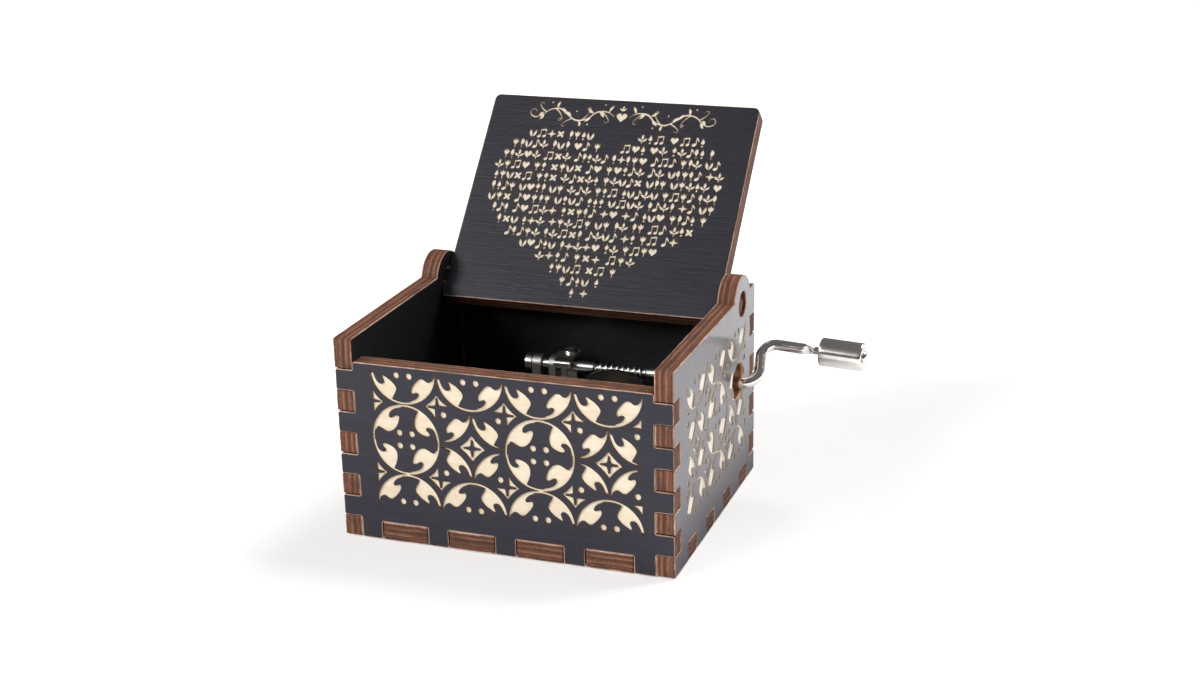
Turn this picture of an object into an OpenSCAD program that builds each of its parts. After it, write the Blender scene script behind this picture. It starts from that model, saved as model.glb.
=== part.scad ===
// Hand-cranked music box: laser-cut plywood case with a hinged lid and an
// eighteen-note comb movement driven through a worm by a bent-rod crank.
// Frame: X to the right, Y to the back, Z up; the origin is the centre of
// the underside of the case. Millimetres.

/* [Case] */
// Width of the case across the side panels
box_w = 64; // [62:0.5:68]
// Depth of the case from front face to back face
box_d = 52; // [51:0.5:56]
// Height of the flat top edge of the side panels
side_h = 38.6; // [38:0.2:40]
// Thickness of the plywood
ply = 3.5; // [3.2:0.1:3.6]
// Height of the front panel
front_h = 34.4; // [34:0.1:34.6]
// Height of the back panel, which is also the stop for the open lid
back_h = 39.9; // [39:0.1:39.9]
// Height of one corner finger
finger_h = 4.1; // [4:0.05:4.2]
// Length of a bottom-panel finger in the front and back panels
finger_w = 9.1; // [8:0.1:10]
// Distance between the bottom-panel fingers in the front and back panels
finger_pitch = 13.2; // [12.5:0.1:13.5]
// Length of a bottom-panel finger in the side panels
side_finger_w = 5; // [4:0.1:6]
// Distance between the bottom-panel fingers in the side panels
side_finger_pitch = 11.15; // [10.5:0.05:11.5]
// Y of the foremost bottom-panel finger in the side panels
side_finger_y0 = -15.4; // [-17:0.1:-15]

/* [Lid] */
// Distance of the lid's pivot behind the middle of the case
pivot_y = 17.3; // [16.8:0.1:17.3]
// Height of the lid's pivot
pivot_z = 37; // [36.8:0.1:37.2]
// Radius of the ear that surrounds the pivot hole
ear_r = 5.6; // [5:0.1:6]
// Radius of the pivot hole in each side panel
pivot_hole_r = 2.5; // [2.45:0.05:2.8]
// Width of the tab that turns in the pivot hole
tab_w = 3.2; // [2.6:0.1:3.2]
// Lid length from the pivot to the free edge
lid_reach = 41.6; // [40:0.1:42]
// Lid length from the pivot to the tail edge
lid_tail = 4.6; // [4:0.1:4.7]
// Side clearance between the lid and each side panel
lid_gap = 0.4; // [0.3:0.05:0.8]
// Lean of the open lid behind the vertical
lid_lean = 42.8; // [40:0.1:43]

/* [Crank] */
// Distance of the crank axis behind the middle of the case
crank_y = 14.6; // [14:0.1:15]
// Height of the crank axis
crank_z = 22.2; // [22:0.1:23]
// Radius of the hole that the crank leaves the case through
crank_hole_r = 3.5; // [3:0.1:4]
// Radius of the crank rod
rod_r = 1.05; // [0.9:0.05:1.1]
// X of the crank's arm
arm_x = 35.8; // [34.6:0.1:37]
// Radius of the knob's circle round the crank axis
crank_radius = 9.45; // [9:0.05:12]
// Angle of the crank arm above the horizontal, as stored
arm_angle = 37.5; // [20:1:60]
// Bend radius of the rod's centre line
bend_r = 2.6; // [2.2:0.1:3.2]
// lean of the arm back towards the case (degrees)
arm_lean = 6.8; // [4:0.1:8]
// tilt of the grip end down towards the shaft's axis (degrees)
grip_tilt = 3.3; // [0:0.1:6]
// Radius of the knob
knob_r = 2.7; // [2.4:0.1:3]
// Length of the knob
knob_len = 8.3; // [8:0.1:10]

/* [Movement] */
// Teeth of the driven gear
gear_teeth = 42; // [42:1:42]
// Axial pitch of the single-start worm
worm_pitch = 1.15; // [1.15:0.05:1.15]
// Outer radius of the worm thread
worm_r = 1.35; // [1.3:0.01:1.36]
// Root radius of the worm thread
worm_root_r = 0.8; // [0.78:0.01:0.82]
// X of the pinned drum's axis
drum_x = 7.8; // [7.6:0.1:8]
// Radius of the pinned drum
drum_r = 6.5; // [6.2:0.1:6.5]
// Height of a pin above the drum
pin_h = 0.5; // [0.3:0.05:0.5]
// Number of comb teeth
comb_teeth = 18; // [12:1:18]
// Pitch of the comb teeth
comb_pitch = 0.93; // [0.9:0.01:0.95]

/* [Hidden] */
$fn = 64;

hw = box_w / 2;
hd = box_d / 2;
eps = 0.5;
// drum and worm: the pitch circles touch at this centre distance
gear_r = gear_teeth * worm_pitch / (2 * PI);
centre_dist = gear_r + 1.113;
drum_z = crank_z - centre_dist;
gear_tip_r = centre_dist - 0.9;
gear_root_r = centre_dist - worm_r - 0.1;
// movement levels
plate_t = 2;
plate_z = ply + plate_t;
comb_z = drum_z + 0.6;
comb_t = 1.1;
comb_y0 = -6.7;
comb_len = comb_teeth * comb_pitch;
drum_y0 = -8;
drum_y1 = 12.2;
tip_x = drum_x - drum_r - pin_h - 0.22;
// worm thread extent
worm_x0 = drum_x - 4 * worm_pitch;
worm_turns = 9;
worm_x1 = worm_x0 + worm_turns * worm_pitch;
// bearing cap: underside and screw position
cap_z = crank_z + 1.15;
cap_x = -2.9;
cap_y = 17.4;
// stations along the grip end, from the corner that it makes with the arm
rod_s1 = 8.9;
knob_s0 = 11.6;
knob_s1 = knob_s0 + knob_len;
neck_r = 0.75;
screw_xy = [[-14.6, -8.2], [17.6, -8.2], [-14.6, 18.6], [17.6, 18.6]];
comb_screw_y = [-4.3, 1.67, 7.6];

wood = [0.16, 0.155, 0.19];
steel = [0.78, 0.78, 0.80];
brass = [0.80, 0.64, 0.34];

// Rows of corner fingers up one edge, each running from depth -eps to ply.
module edge_fingers(first, last) {
    for (k = [first : 2 : last])
        translate([-eps, k * finger_h]) square([ply + eps, finger_h]);
}

// Outline of the front or back panel in X-Z, with its top at height h and
// the corner fingers running to full width between heights k * finger_h.
module end_outline(h) {
    difference() {
        translate([-hw, 0]) square([box_w, h]);
        for (m = [0, 1]) mirror([m, 0]) translate([-hw, 0]) {
            edge_fingers(0, 6);
            translate([-eps, 8 * finger_h]) square([ply + eps, 20]);
        }
        for (k = [-1.5 : 1 : 1.5])
            translate([k * finger_pitch - finger_w / 2, -eps])
                square([finger_w, ply + eps]);
    }
}

// Outline of a side panel in Y-Z, with an ear round the lid's pivot hole.
module side_outline() {
    difference() {
        union() {
            translate([-hd, 0]) square([box_d, side_h]);
            translate([pivot_y, pivot_z]) circle(r = ear_r);
        }
        for (m = [0, 1]) mirror([m, 0]) translate([-hd, 0])
            edge_fingers(1, 7);
        for (k = [0 : 3])
            translate([side_finger_y0 + k * side_finger_pitch - side_finger_w / 2, -eps])
                square([side_finger_w, ply + eps]);
        translate([pivot_y, pivot_z]) circle(r = pivot_hole_r);
    }
}

module front_panel() {
    color(wood) translate([0, -hd + ply, 0]) rotate([90, 0, 0])
        linear_extrude(ply) end_outline(front_h);
}

module back_panel() {
    color(wood) translate([0, hd, 0]) rotate([90, 0, 0])
        linear_extrude(ply) end_outline(back_h);
}

module left_panel() {
    color(wood) translate([-hw, 0, 0]) rotate([90, 0, 90])
        linear_extrude(ply) side_outline();
}

module right_panel() {
    color(wood) translate([hw - ply, 0, 0]) rotate([90, 0, 90])
        linear_extrude(ply) difference() {
            side_outline();
            translate([crank_y, crank_z + 0.3]) circle(r = crank_hole_r);
        }
}

// Floor of the case, keyed into all four walls; the movement screws enter
// through countersunk holes from below.
module bottom_panel() {
    color(wood) difference() {
        linear_extrude(ply) {
            square([box_w - 2 * ply, box_d - 2 * ply], center = true);
            for (k = [-1.5 : 1 : 1.5])
                translate([k * finger_pitch - finger_w / 2, -hd])
                    square([finger_w, box_d]);
            for (k = [0 : 3])
                translate([-hw, side_finger_y0 + k * side_finger_pitch - side_finger_w / 2])
                    square([box_w, side_finger_w]);
        }
        for (p = screw_xy) translate([p[0], p[1], 0]) {
            translate([0, 0, -eps]) cylinder(h = ply + 2 * eps, r = 1.15);
            translate([0, 0, -0.01]) cylinder(h = 1.41, r1 = 2.3, r2 = 1.15);
        }
    }
}

// The lid as it stands open: a flat board with a tab at each side that
// turns in the pivot holes.
module lid() {
    lid_w = box_w - 2 * ply - 2 * lid_gap;
    color(wood) translate([0, pivot_y, pivot_z]) rotate([-lid_lean, 0, 0])
        union() {
            translate([-lid_w / 2, -ply / 2, -lid_tail])
                cube([lid_w, ply, lid_tail + lid_reach]);
            translate([-hw + 0.4, -ply / 2, -tab_w / 2])
                cube([box_w - 0.8, ply, tab_w]);
        }
}

// Cast bed of the movement: a plate with the raised comb seat, the front
// post of the drum's arbor and three posts for the worm shaft.
module bedplate() {
    color(steel) difference() {
        union() {
            translate([-17.4, -11.2, ply]) cube([38.2, 33, plate_t]);
            // comb seat
            translate([-17.4, comb_y0 - 0.6, plate_z - 0.01])
                cube([6.6, comb_len + 1.2, comb_z - plate_z + 0.01]);
            // front arbor post, with a round head
            translate([drum_x - 2.4, -11.2, plate_z - 0.01])
                cube([4.8, 2.2, drum_z - plate_z]);
            translate([drum_x, -9, drum_z]) rotate([90, 0, 0])
                cylinder(h = 2.2, r = 2.4);
            // shaft posts
            for (q = [[-9.5, 1.8], [-6, 1.4], [17.6, 2.2]])
                translate([q[0], crank_y, crank_z]) {
                    rotate([0, 90, 0]) cylinder(h = q[1], r = 1.75);
                    translate([0, -1.75, plate_z - crank_z - 0.01])
                        cube([q[1], 3.5, crank_z - plate_z]);
                }
            // bridge and pillar that carry the bearing cap's screw
            translate([-9.5, crank_y - 1.75, plate_z - 0.01])
                cube([4.9, 3.5, 6]);
            translate([-6, crank_y + 1.4, plate_z - 0.01])
                cube([4.7, 3, cap_z + 0.01 - plate_z]);
        }
        // window under the gear
        translate([drum_x - 5.8, 11.8, 0]) cube([11.6, 4.8, plate_z + 1]);
        // bores
        translate([drum_x, -8, drum_z]) rotate([90, 0, 0])
            cylinder(h = 5, r = 1.05);
        translate([-12, crank_y, crank_z]) rotate([0, 90, 0])
            cylinder(h = 40, r = rod_r + 0.05);
        // tapped holes
        for (y = comb_screw_y) translate([-14.1, y, comb_z - 4])
            cylinder(h = 6, r = 1);
        translate([drum_x, 20.2, ply + 0.4]) cylinder(h = 4, r = 0.9);
        translate([cap_x, cap_y, cap_z - 4]) cylinder(h = 6, r = 0.9);
        for (p = screw_xy) translate([p[0], p[1], ply - eps])
            cylinder(h = 2 + eps - 0.4, r = 1.1);
    }
}

// Steel comb: one plate slotted into teeth that grow longer and thinner
// from the treble end to the bass end.
module comb() {
    color(steel) difference() {
        translate([-17, comb_y0, comb_z])
            cube([tip_x + 17, comb_len, comb_t]);
        for (k = [1 : comb_teeth - 1])
            translate([-10.6 + 5.2 * k / comb_teeth, comb_y0 + k * comb_pitch - 0.14, comb_z - 1])
                cube([20, 0.28, comb_t + 2]);
        // the teeth are thinner than the root
        translate([-9.4, comb_y0 - 1, comb_z + 0.55])
            cube([20, comb_len + 2, 2]);
        for (y = comb_screw_y) translate([-14.1, y, comb_z - 1])
            cylinder(h = 4, r = 1.1);
    }
}

// Tuning weights soldered under the bass teeth.
module comb_weights() {
    color([0.45, 0.45, 0.47]) for (k = [0 : 7])
        translate([tip_x - 3.6 + 0.16 * k, comb_y0 + k * comb_pitch + 0.19, comb_z - 1.9 + 0.16 * k])
            cube([2.4 - 0.1 * k, comb_pitch - 0.38, 1.9 - 0.16 * k]);
}

// Slotted screw, head upwards, with its seat at z = 0.
module slot_screw(r, len, head_r, head_h) {
    difference() {
        union() {
            translate([0, 0, -len]) cylinder(h = len + 0.01, r = r);
            cylinder(h = head_h * 0.6, r = head_r);
            translate([0, 0, head_h * 0.6])
                cylinder(h = head_h * 0.4, r1 = head_r, r2 = head_r * 0.72);
        }
        translate([-head_r - 1, -0.22, head_h * 0.45])
            cube([2 * head_r + 2, 0.44, head_h]);
    }
}

module comb_screws() {
    color(steel) for (i = [0 : 2])
        translate([-14.1, comb_screw_y[i], comb_z + comb_t])
            rotate([0, 0, 30 + 50 * i]) slot_screw(1, 4.6, 1.95, 1.3);
}

// Brass drum: a thin tube.
module drum() {
    color(brass) translate([drum_x, drum_y0, drum_z]) rotate([-90, 0, 0])
        difference() {
            cylinder(h = drum_y1 - drum_y0, r = drum_r, $fn = 96);
            translate([0, 0, -1])
                cylinder(h = drum_y1 - drum_y0 + 2, r = drum_r - 0.6, $fn = 96);
        }
}

// Drum pins on the eighteen tracks. Each track's pins follow a simple
// repeating rule, so the tune is an abstract pattern.
module drum_pins() {
    color(brass) for (t = [0 : comb_teeth - 1])
        for (j = [0 : 6])
            if ((3 * t + 5 * j) % 4 < 3)
                translate([drum_x, comb_y0 + (t + 0.5) * comb_pitch, drum_z])
                    rotate([0, (t * 97 + j * 51.4 + 13 * ((t * j) % 3)) % 360, 0])
                        translate([0, 0, drum_r - 0.45])
                            cylinder(h = 0.45 + pin_h, r = 0.16, $fn = 16);
}

// Plug in the drum's free end.
module drum_end_cap() {
    color([0.12, 0.12, 0.13]) translate([drum_x, drum_y0 - 0.4, drum_z])
        rotate([-90, 0, 0]) difference() {
            union() {
                cylinder(h = 0.4, r = drum_r - 0.2, $fn = 96);
                cylinder(h = 2.4, r = drum_r - 0.6, $fn = 96);
            }
            translate([0, 0, -1]) cylinder(h = 5, r = 1);
            translate([0, 0, -0.4])
                rotate_extrude($fn = 96) translate([3, 0]) square([1.6, 1.0]);
        }
}

// Driven gear with a flange on the drum side and a spigot in the drum.
// Each tooth is skewed by the worm's lead angle.
module drum_gear() {
    lead = atan(worm_pitch / (2 * PI * 1.113));
    color([0.1, 0.1, 0.11]) difference() {
        union() {
            translate([drum_x, drum_y1 - 2.4, drum_z]) rotate([-90, 0, 0]) {
                cylinder(h = 2.4, r = drum_r - 0.6, $fn = 96);
                translate([0, 0, 2.4])
                    cylinder(h = 0.7, r = 9.6, $fn = 96);
                translate([0, 0, 2.4])
                    cylinder(h = 3.7, r = gear_root_r, $fn = 96);
            }
            for (k = [0 : gear_teeth - 1])
                translate([drum_x, crank_y, drum_z])
                    rotate([0, k * 360 / gear_teeth, 0])
                        translate([0, 0, gear_root_r - 0.3])
                            rotate([0, 0, lead]) rotate([90, 0, 0])
                                translate([0, 0, -1.15]) linear_extrude(2.3)
                                    polygon([[-0.32, 0], [0.32, 0],
                                        [0.15, gear_tip_r - gear_root_r + 0.3],
                                        [-0.15, gear_tip_r - gear_root_r + 0.3]]);
        }
        translate([drum_x, 0, drum_z]) rotate([-90, 0, 0])
            cylinder(h = 30, r = 1);
        translate([drum_x, crank_y + 0.9, drum_z]) rotate([-90, 0, 0])
            rotate_extrude($fn = 96) translate([2.6, 0]) square([3.4, 3]);
    }
}

module drum_arbor() {
    color(steel) translate([drum_x, -11.9, drum_z]) rotate([-90, 0, 0])
        cylinder(h = 31.4, r = 1);
}

// Rear bearing of the drum's arbor: a bent strip screwed to the bedplate.
module arbor_bracket() {
    color(steel) difference() {
        union() {
            translate([drum_x - 2.6, 17, plate_z]) cube([5.2, 1.3, drum_z - plate_z]);
            translate([drum_x, 18.3, drum_z]) rotate([90, 0, 0])
                cylinder(h = 1.3, r = 2.6);
            translate([drum_x - 2.6, 17, plate_z]) cube([5.2, 4.9, 1]);
        }
        translate([drum_x, 20, drum_z]) rotate([90, 0, 0])
            cylinder(h = 5, r = 1.05);
        translate([drum_x, 20.2, plate_z - 1]) cylinder(h = 4, r = 1);
    }
}

module arbor_bracket_screw() {
    color(steel) translate([drum_x, 20.2, plate_z + 1])
        rotate([0, 0, 65]) slot_screw(0.9, 2.4, 1.55, 1.1);
}

// Plate over the worm shaft, folded down at the front, with a narrow leg.
module bearing_cap() {
    color(steel) difference() {
        union() {
            translate([-4.5, 12.2, cap_z]) cube([3.4, 6.8, 0.65]);
            translate([-4.5, 12.2, cap_z]) rotate([0, 90, 0])
                rotate_extrude(angle = 90, start = 180, $fn = 48)
                    square([0.65, 3.4]);
            translate([-4.5, 11.55, cap_z - 0.7]) cube([3.4, 0.65, 0.71]);
            translate([-2.9, 11.55, cap_z - 4.4]) cube([1.1, 0.65, 3.8]);
        }
        translate([cap_x, cap_y, cap_z - 2]) cylinder(h = 4, r = 1);
    }
}

module bearing_cap_screw() {
    color(steel) translate([cap_x, cap_y, cap_z + 0.65])
        rotate([0, 0, 20]) slot_screw(0.9, 3.4, 1.35, 0.7);
}

// Distance of a point on the worm from its nearest gap centre, in pitches.
function gap_d(x, a) = let (u = (x - drum_x) / worm_pitch - (a + 90) / 360)
    abs(u - round(u));
// Thread radius at axial position x and angle a; it fades out at the ends.
function thread_r(x, a) = let (
        s = min(1, max(0, (gap_d(x, a) - 0.2) / 0.17)),
        e = min(1, (x - worm_x0) / 0.5, (worm_x1 - x) / 0.5))
    worm_root_r + (worm_r - worm_root_r) * s * max(0, e);

// Helical thread as one closed body along X about the crank axis.
module worm_thread() {
    na = 24;
    nx = worm_turns * 8;
    pts = [for (i = [0 : nx]) let (x = worm_x0 + (worm_x1 - worm_x0) * i / nx)
        for (j = [0 : na - 1]) let (a = 360 * j / na, r = thread_r(x, a))
            [x, crank_y + r * cos(a), crank_z + r * sin(a)]];
    faces = concat(
        [[for (j = [0 : na - 1]) j]],
        [[for (j = [na - 1 : -1 : 0]) nx * na + j]],
        [for (i = [0 : nx - 1]) for (j = [0 : na - 1])
            [i * na + j, (i + 1) * na + j, i * na + (j + 1) % na]],
        [for (i = [0 : nx - 1]) for (j = [0 : na - 1])
            [(i + 1) * na + j, (i + 1) * na + (j + 1) % na, i * na + (j + 1) % na]]);
    polyhedron(points = pts, faces = faces, convexity = 10);
}

// Worm shaft: a plain journal on the left, the worm over the gear, and a
// socketed hub on the right that takes the crank rod.
module worm_shaft() {
    color(steel) {
        worm_thread();
        translate([0, crank_y, crank_z]) rotate([0, 90, 0]) {
            translate([0, 0, -11.2]) cylinder(h = worm_x0 + 11.2, r = rod_r);
            translate([0, 0, worm_x1]) difference() {
                union() {
                    cylinder(h = 25.4 - worm_x1, r = rod_r);
                    translate([0, 0, 20.1 - worm_x1]) cylinder(h = 5.3, r = 2);
                }
                translate([0, 0, 21 - worm_x1]) cylinder(h = 6, r = rod_r - 0.15);
            }
        }
    }
}

module shaft_collar() {
    color(steel) translate([-11.1, crank_y, crank_z]) rotate([0, 90, 0])
        difference() {
            cylinder(h = 1.4, r = 1.7);
            translate([0, 0, -1]) cylinder(h = 4, r = rod_r);
        }
}

// Frame on the grip end: the origin is a distance s from its corner with the
// arm, and X runs along the grip.
module on_grip(s) {
    translate([arm_x, crank_y, crank_z]) rotate([arm_angle, 0, 0])
        rotate([0, 0, arm_lean]) translate([0, crank_radius, 0])
            rotate([0, 0, -arm_lean - grip_tilt]) translate([s, 0, 0]) children();
}

// Crank: one bent steel rod. Its inner end is turned down and screwed into
// the worm shaft, its outer end is turned down to the knob's pivot, with
// two staked ears that hold the knob back.
module crank_arm() {
    t1 = bend_r * tan((90 + arm_lean) / 2);
    turn = 90 + arm_lean + grip_tilt;
    t2 = bend_r * tan(turn / 2);
    color(steel) {
        translate([arm_x, crank_y, crank_z]) rotate([arm_angle, 0, 0]) {
            translate([21.2 - arm_x, 0, 0]) rotate([0, 90, 0])
                cylinder(h = 4.21, r = rod_r - 0.15);
            translate([25.4 - arm_x, 0, 0]) rotate([0, 90, 0])
                cylinder(h = arm_x - t1 - 25.4, r = rod_r);
            translate([-t1, bend_r, 0])
                rotate_extrude(angle = 90 + arm_lean, start = 270)
                    translate([bend_r, 0]) circle(r = rod_r);
            rotate([0, 0, arm_lean]) {
                translate([0, t1, 0]) rotate([-90, 0, 0])
                    cylinder(h = crank_radius - t1 - t2, r = rod_r);
                // faint ring that bending leaves
                translate([0, t1 - 0.1, 0]) rotate([-90, 0, 0])
                    cylinder(h = 0.2, r = rod_r + 0.02);
                translate([bend_r, crank_radius - t2, 0])
                    rotate_extrude(angle = turn, start = 180 - turn)
                        translate([bend_r, 0]) circle(r = rod_r);
            }
        }
        on_grip(t2) rotate([0, 90, 0]) cylinder(h = rod_s1 - t2, r = rod_r);
        on_grip(t2 - 0.1) rotate([0, 90, 0]) cylinder(h = 0.2, r = rod_r + 0.02);
        on_grip(rod_s1 - 0.01) {
            rotate([0, 90, 0])
                cylinder(h = knob_s1 - rod_s1 + 0.21, r = neck_r);
            for (m = [0, 1]) mirror([0, 0, m])
                translate([0, -0.35, 0.5]) cube([1.2, 0.7, 0.65]);
        }
    }
}

// Turned knob that spins on the end of the rod.
module crank_knob() {
    color(steel) on_grip(knob_s0) rotate([0, 90, 0])
        rotate_extrude($fn = 96) polygon([[neck_r + 0.05, 0],
            [knob_r - 0.25, 0], [knob_r, 0.25], [knob_r, knob_len - 0.25],
            [knob_r - 0.25, knob_len], [neck_r + 0.05, knob_len]]);
}

// Peened head that keeps the knob on.
module knob_rivet() {
    color(steel) on_grip(knob_s1 + 0.2) rotate([0, 90, 0]) {
        cylinder(h = 0.25, r = 1.15);
        translate([0, 0, 0.24]) cylinder(h = 0.35, r1 = 1.15, r2 = 0.6);
    }
}

// Countersunk screws that hold the movement from below.
module movement_screws() {
    color(steel) for (i = [0 : 3]) translate([screw_xy[i][0], screw_xy[i][1], 0])
        difference() {
            union() {
                translate([0, 0, 0.15]) cylinder(h = 1.25, r1 = 2.15, r2 = 1.1);
                translate([0, 0, 1.3]) cylinder(h = 3.7, r = 1.1);
            }
            rotate([0, 0, 40 * i]) {
                translate([-1.4, -0.2, -1]) cube([2.8, 0.4, 1.8]);
                translate([-0.2, -1.4, -1]) cube([0.4, 2.8, 1.8]);
            }
        }
}

front_panel();
back_panel();
left_panel();
right_panel();
bottom_panel();
lid();
bedplate();
comb();
comb_weights();
comb_screws();
drum();
drum_pins();
drum_end_cap();
drum_gear();
drum_arbor();
arbor_bracket();
arbor_bracket_screw();
bearing_cap();
bearing_cap_screw();
worm_shaft();
shaft_collar();
crank_arm();
crank_knob();
knob_rivet();
movement_screws();
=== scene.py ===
"""Hand-cranked plywood music box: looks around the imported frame."""
import bpy
import math
import random
import numpy as np
from mathutils import Matrix, Vector, kdtree
from mathutils.geometry import delaunay_2d_cdt


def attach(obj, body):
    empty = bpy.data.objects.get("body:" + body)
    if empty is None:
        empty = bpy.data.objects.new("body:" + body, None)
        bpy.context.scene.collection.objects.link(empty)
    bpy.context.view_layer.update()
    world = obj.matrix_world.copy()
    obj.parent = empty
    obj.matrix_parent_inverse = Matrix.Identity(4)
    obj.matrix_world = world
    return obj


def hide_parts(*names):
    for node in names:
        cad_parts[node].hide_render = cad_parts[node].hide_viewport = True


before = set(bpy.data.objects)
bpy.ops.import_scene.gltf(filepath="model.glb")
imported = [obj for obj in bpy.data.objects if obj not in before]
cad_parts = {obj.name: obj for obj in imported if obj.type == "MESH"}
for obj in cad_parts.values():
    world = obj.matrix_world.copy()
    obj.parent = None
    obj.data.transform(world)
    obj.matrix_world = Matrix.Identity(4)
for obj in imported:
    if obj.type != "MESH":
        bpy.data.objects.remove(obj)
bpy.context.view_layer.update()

MM = 0.001
PI = math.pi
PLY = 3.5
COL = bpy.context.scene.collection


# ------------------------------------------------------------------ camera
cam_data = bpy.data.cameras.new("camera")
cam = bpy.data.objects.new("camera", cam_data)
COL.objects.link(cam)
cam_data.sensor_width = 36
cam_data.lens = 57.11
cam_data.clip_start = 0.01
cam_data.clip_end = 60
RIGHT = Vector((0.9420146890815935, 0.33491555008315244, -0.020973790001050097))
DOWN = Vector((0.09153035112678923, -0.3165728437691644, -0.9441418481406864))
AHEAD = Vector((-0.32284751877181195, 0.8874757511619141, -0.32887120689181804))
cam.matrix_world = Matrix((
    (RIGHT.x, -DOWN.x, -AHEAD.x, 0.12316),
    (RIGHT.y, -DOWN.y, -AHEAD.y, -0.31238),
    (RIGHT.z, -DOWN.z, -AHEAD.z, 0.14971),
    (0, 0, 0, 1)))
bpy.context.scene.camera = cam


# ------------------------------------------------------------------ 2-D shapes
def catmull(points, sub=3, closed=False):
    p = [np.array(q, float) for q in points]
    n = len(p)
    out = []
    for i in range(n if closed else n - 1):
        p1, p2 = p[i], p[(i + 1) % n]
        p0 = p[i - 1] if (closed or i > 0) else 2 * p1 - p2
        p3 = p[(i + 2) % n] if (closed or i + 2 < n) else 2 * p2 - p1
        for k in range(sub):
            t = k / sub
            out.append(0.5 * (2 * p1 + (p2 - p0) * t
                              + (2 * p0 - 5 * p1 + 4 * p2 - p3) * t * t
                              + (3 * p1 - p0 - 3 * p2 + p3) * t ** 3))
    if not closed:
        out.append(p[-1])
    return [(float(q[0]), float(q[1])) for q in out]


def ellipse(cx, cy, ra, rb, n=24, a0=0.0):
    return [(cx + ra * math.cos(a0 + 2 * PI * i / n), cy + rb * math.sin(a0 + 2 * PI * i / n))
            for i in range(n)]


def band(cx, cy, ro, ri, t0, t1, n=56, taper=0.16, tip=0.3):
    """A curved band between two ellipses that thins towards both ends."""
    outer, inner = [], []
    for i in range(n + 1):
        s = i / n
        t = math.radians(t0 + (t1 - t0) * s)
        w = tip + (1 - tip) * min(1, s / taper, (1 - s) / taper)
        o, m = [], []
        for k, f in ((0, math.cos(t)), (1, math.sin(t))):
            mid, half = (ro[k] + ri[k]) / 2, (ro[k] - ri[k]) / 2
            o.append((mid + half * w) * f)
            m.append((mid - half * w) * f)
        outer.append((cx + o[0], cy + o[1]))
        inner.append((cx + m[0], cy + m[1]))
    return outer + inner[::-1]


def stroke(points, widths, sub=6):
    """A brush stroke along a smooth line, with a width at each point."""
    line = catmull(points, sub)
    m = len(line)
    w = np.interp(np.linspace(0, 1, m), np.linspace(0, 1, len(widths)), widths)
    left, right = [], []
    for i in range(m):
        a, b = line[max(0, i - 1)], line[min(m - 1, i + 1)]
        dx, dy = b[0] - a[0], b[1] - a[1]
        k = math.hypot(dx, dy) or 1
        nx, ny = -dy / k * w[i] / 2, dx / k * w[i] / 2
        left.append((line[i][0] + nx, line[i][1] + ny))
        right.append((line[i][0] - nx, line[i][1] - ny))
    return left + right[::-1]


# inner contours of the leaves, about the centre of the ring that they grow from
LEAF_A = [(-5.82, 1.35), (-5.65, 1.8), (-5.45, 1.98), (-5.2, 2.02), (-4.8, 1.82), (-4.3, 1.55),
          (-3.85, 1.32), (-3.4, 1.24), (-2.95, 1.35), (-2.5, 1.58), (-2.1, 1.92), (-1.7, 2.42),
          (-1.4, 2.98), (-1.18, 3.6), (-1.05, 4.25), (-1.12, 4.47), (-1.3, 4.57), (-1.65, 4.56),
          (-1.95, 4.43), (-2.25, 4.22), (-2.55, 4.08), (-2.85, 4.07), (-3.04, 4.25),
          (-3.07, 4.55), (-2.95, 4.95), (-2.65, 5.32), (-2.25, 5.62), (-1.7, 5.88),
          (-1.1, 6.05), (-0.5, 6.2)]
LEAF_B = [(2.55, 5.62), (2.35, 5.2), (2.1, 4.6), (1.92, 4.0), (1.83, 3.4), (1.86, 2.8), (2.05, 2.25),
          (2.4, 1.8), (2.9, 1.48), (3.5, 1.23), (4.1, 1.1), (4.55, 1.18), (4.78, 1.42),
          (4.75, 1.7), (4.5, 2.0), (4.22, 2.24), (4.12, 2.48), (4.24, 2.7), (4.55, 2.78),
          (4.95, 2.73), (5.35, 2.5), (5.62, 2.15), (5.8, 1.7), (5.95, 1.1), (6.02, 0.5)]
LEAF_C = [(6.15, -0.8), (5.92, -1.35), (5.5, -1.82), (5.05, -2.02), (4.7, -1.93), (4.4, -1.74),
          (4.1, -1.54), (3.7, -1.44), (3.3, -1.54), (3.0, -1.78), (2.6, -2.18), (2.2, -2.63),
          (1.85, -3.12), (1.6, -3.6), (1.5, -4.1), (1.58, -4.4), (1.8, -4.51), (2.1, -4.4),
          (2.4, -4.28), (2.7, -4.27), (2.91, -4.4), (2.94, -4.68), (2.78, -5.0), (2.5, -5.32),
          (2.15, -5.6), (1.7, -5.82), (1.25, -5.98)]
LEAF_D = [(-2.15, -5.68), (-1.95, -5.2), (-1.65, -4.7), (-1.38, -4.15), (-1.3, -3.7), (-1.5, -3.2),
          (-1.85, -2.8), (-2.25, -2.4), (-2.75, -2.05), (-3.25, -1.75), (-3.65, -1.5),
          (-3.9, -1.47), (-4.07, -1.65), (-3.92, -2.1), (-3.74, -2.55), (-3.73, -2.88),
          (-3.95, -3.08), (-4.3, -3.14), (-4.65, -3.05), (-4.95, -2.8), (-5.25, -2.35),
          (-5.5, -1.75), (-5.72, -1.1)]


def leaf(points, cx, cy, turn=False, ring=6.34):
    pts = catmull(points, 2)
    a0 = math.atan2(pts[0][1], pts[0][0])
    a1 = math.atan2(pts[-1][1], pts[-1][0])
    d = (a0 - a1 + PI) % (2 * PI) - PI
    n = max(6, int(abs(d) / 0.07))
    pts += [(ring * math.cos(a1 + d * i / n), ring * math.sin(a1 + d * i / n))
            for i in range(n + 1)]
    s = -1 if turn else 1
    return [(cx + s * x, cy + s * y) for x, y in pts]


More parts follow.
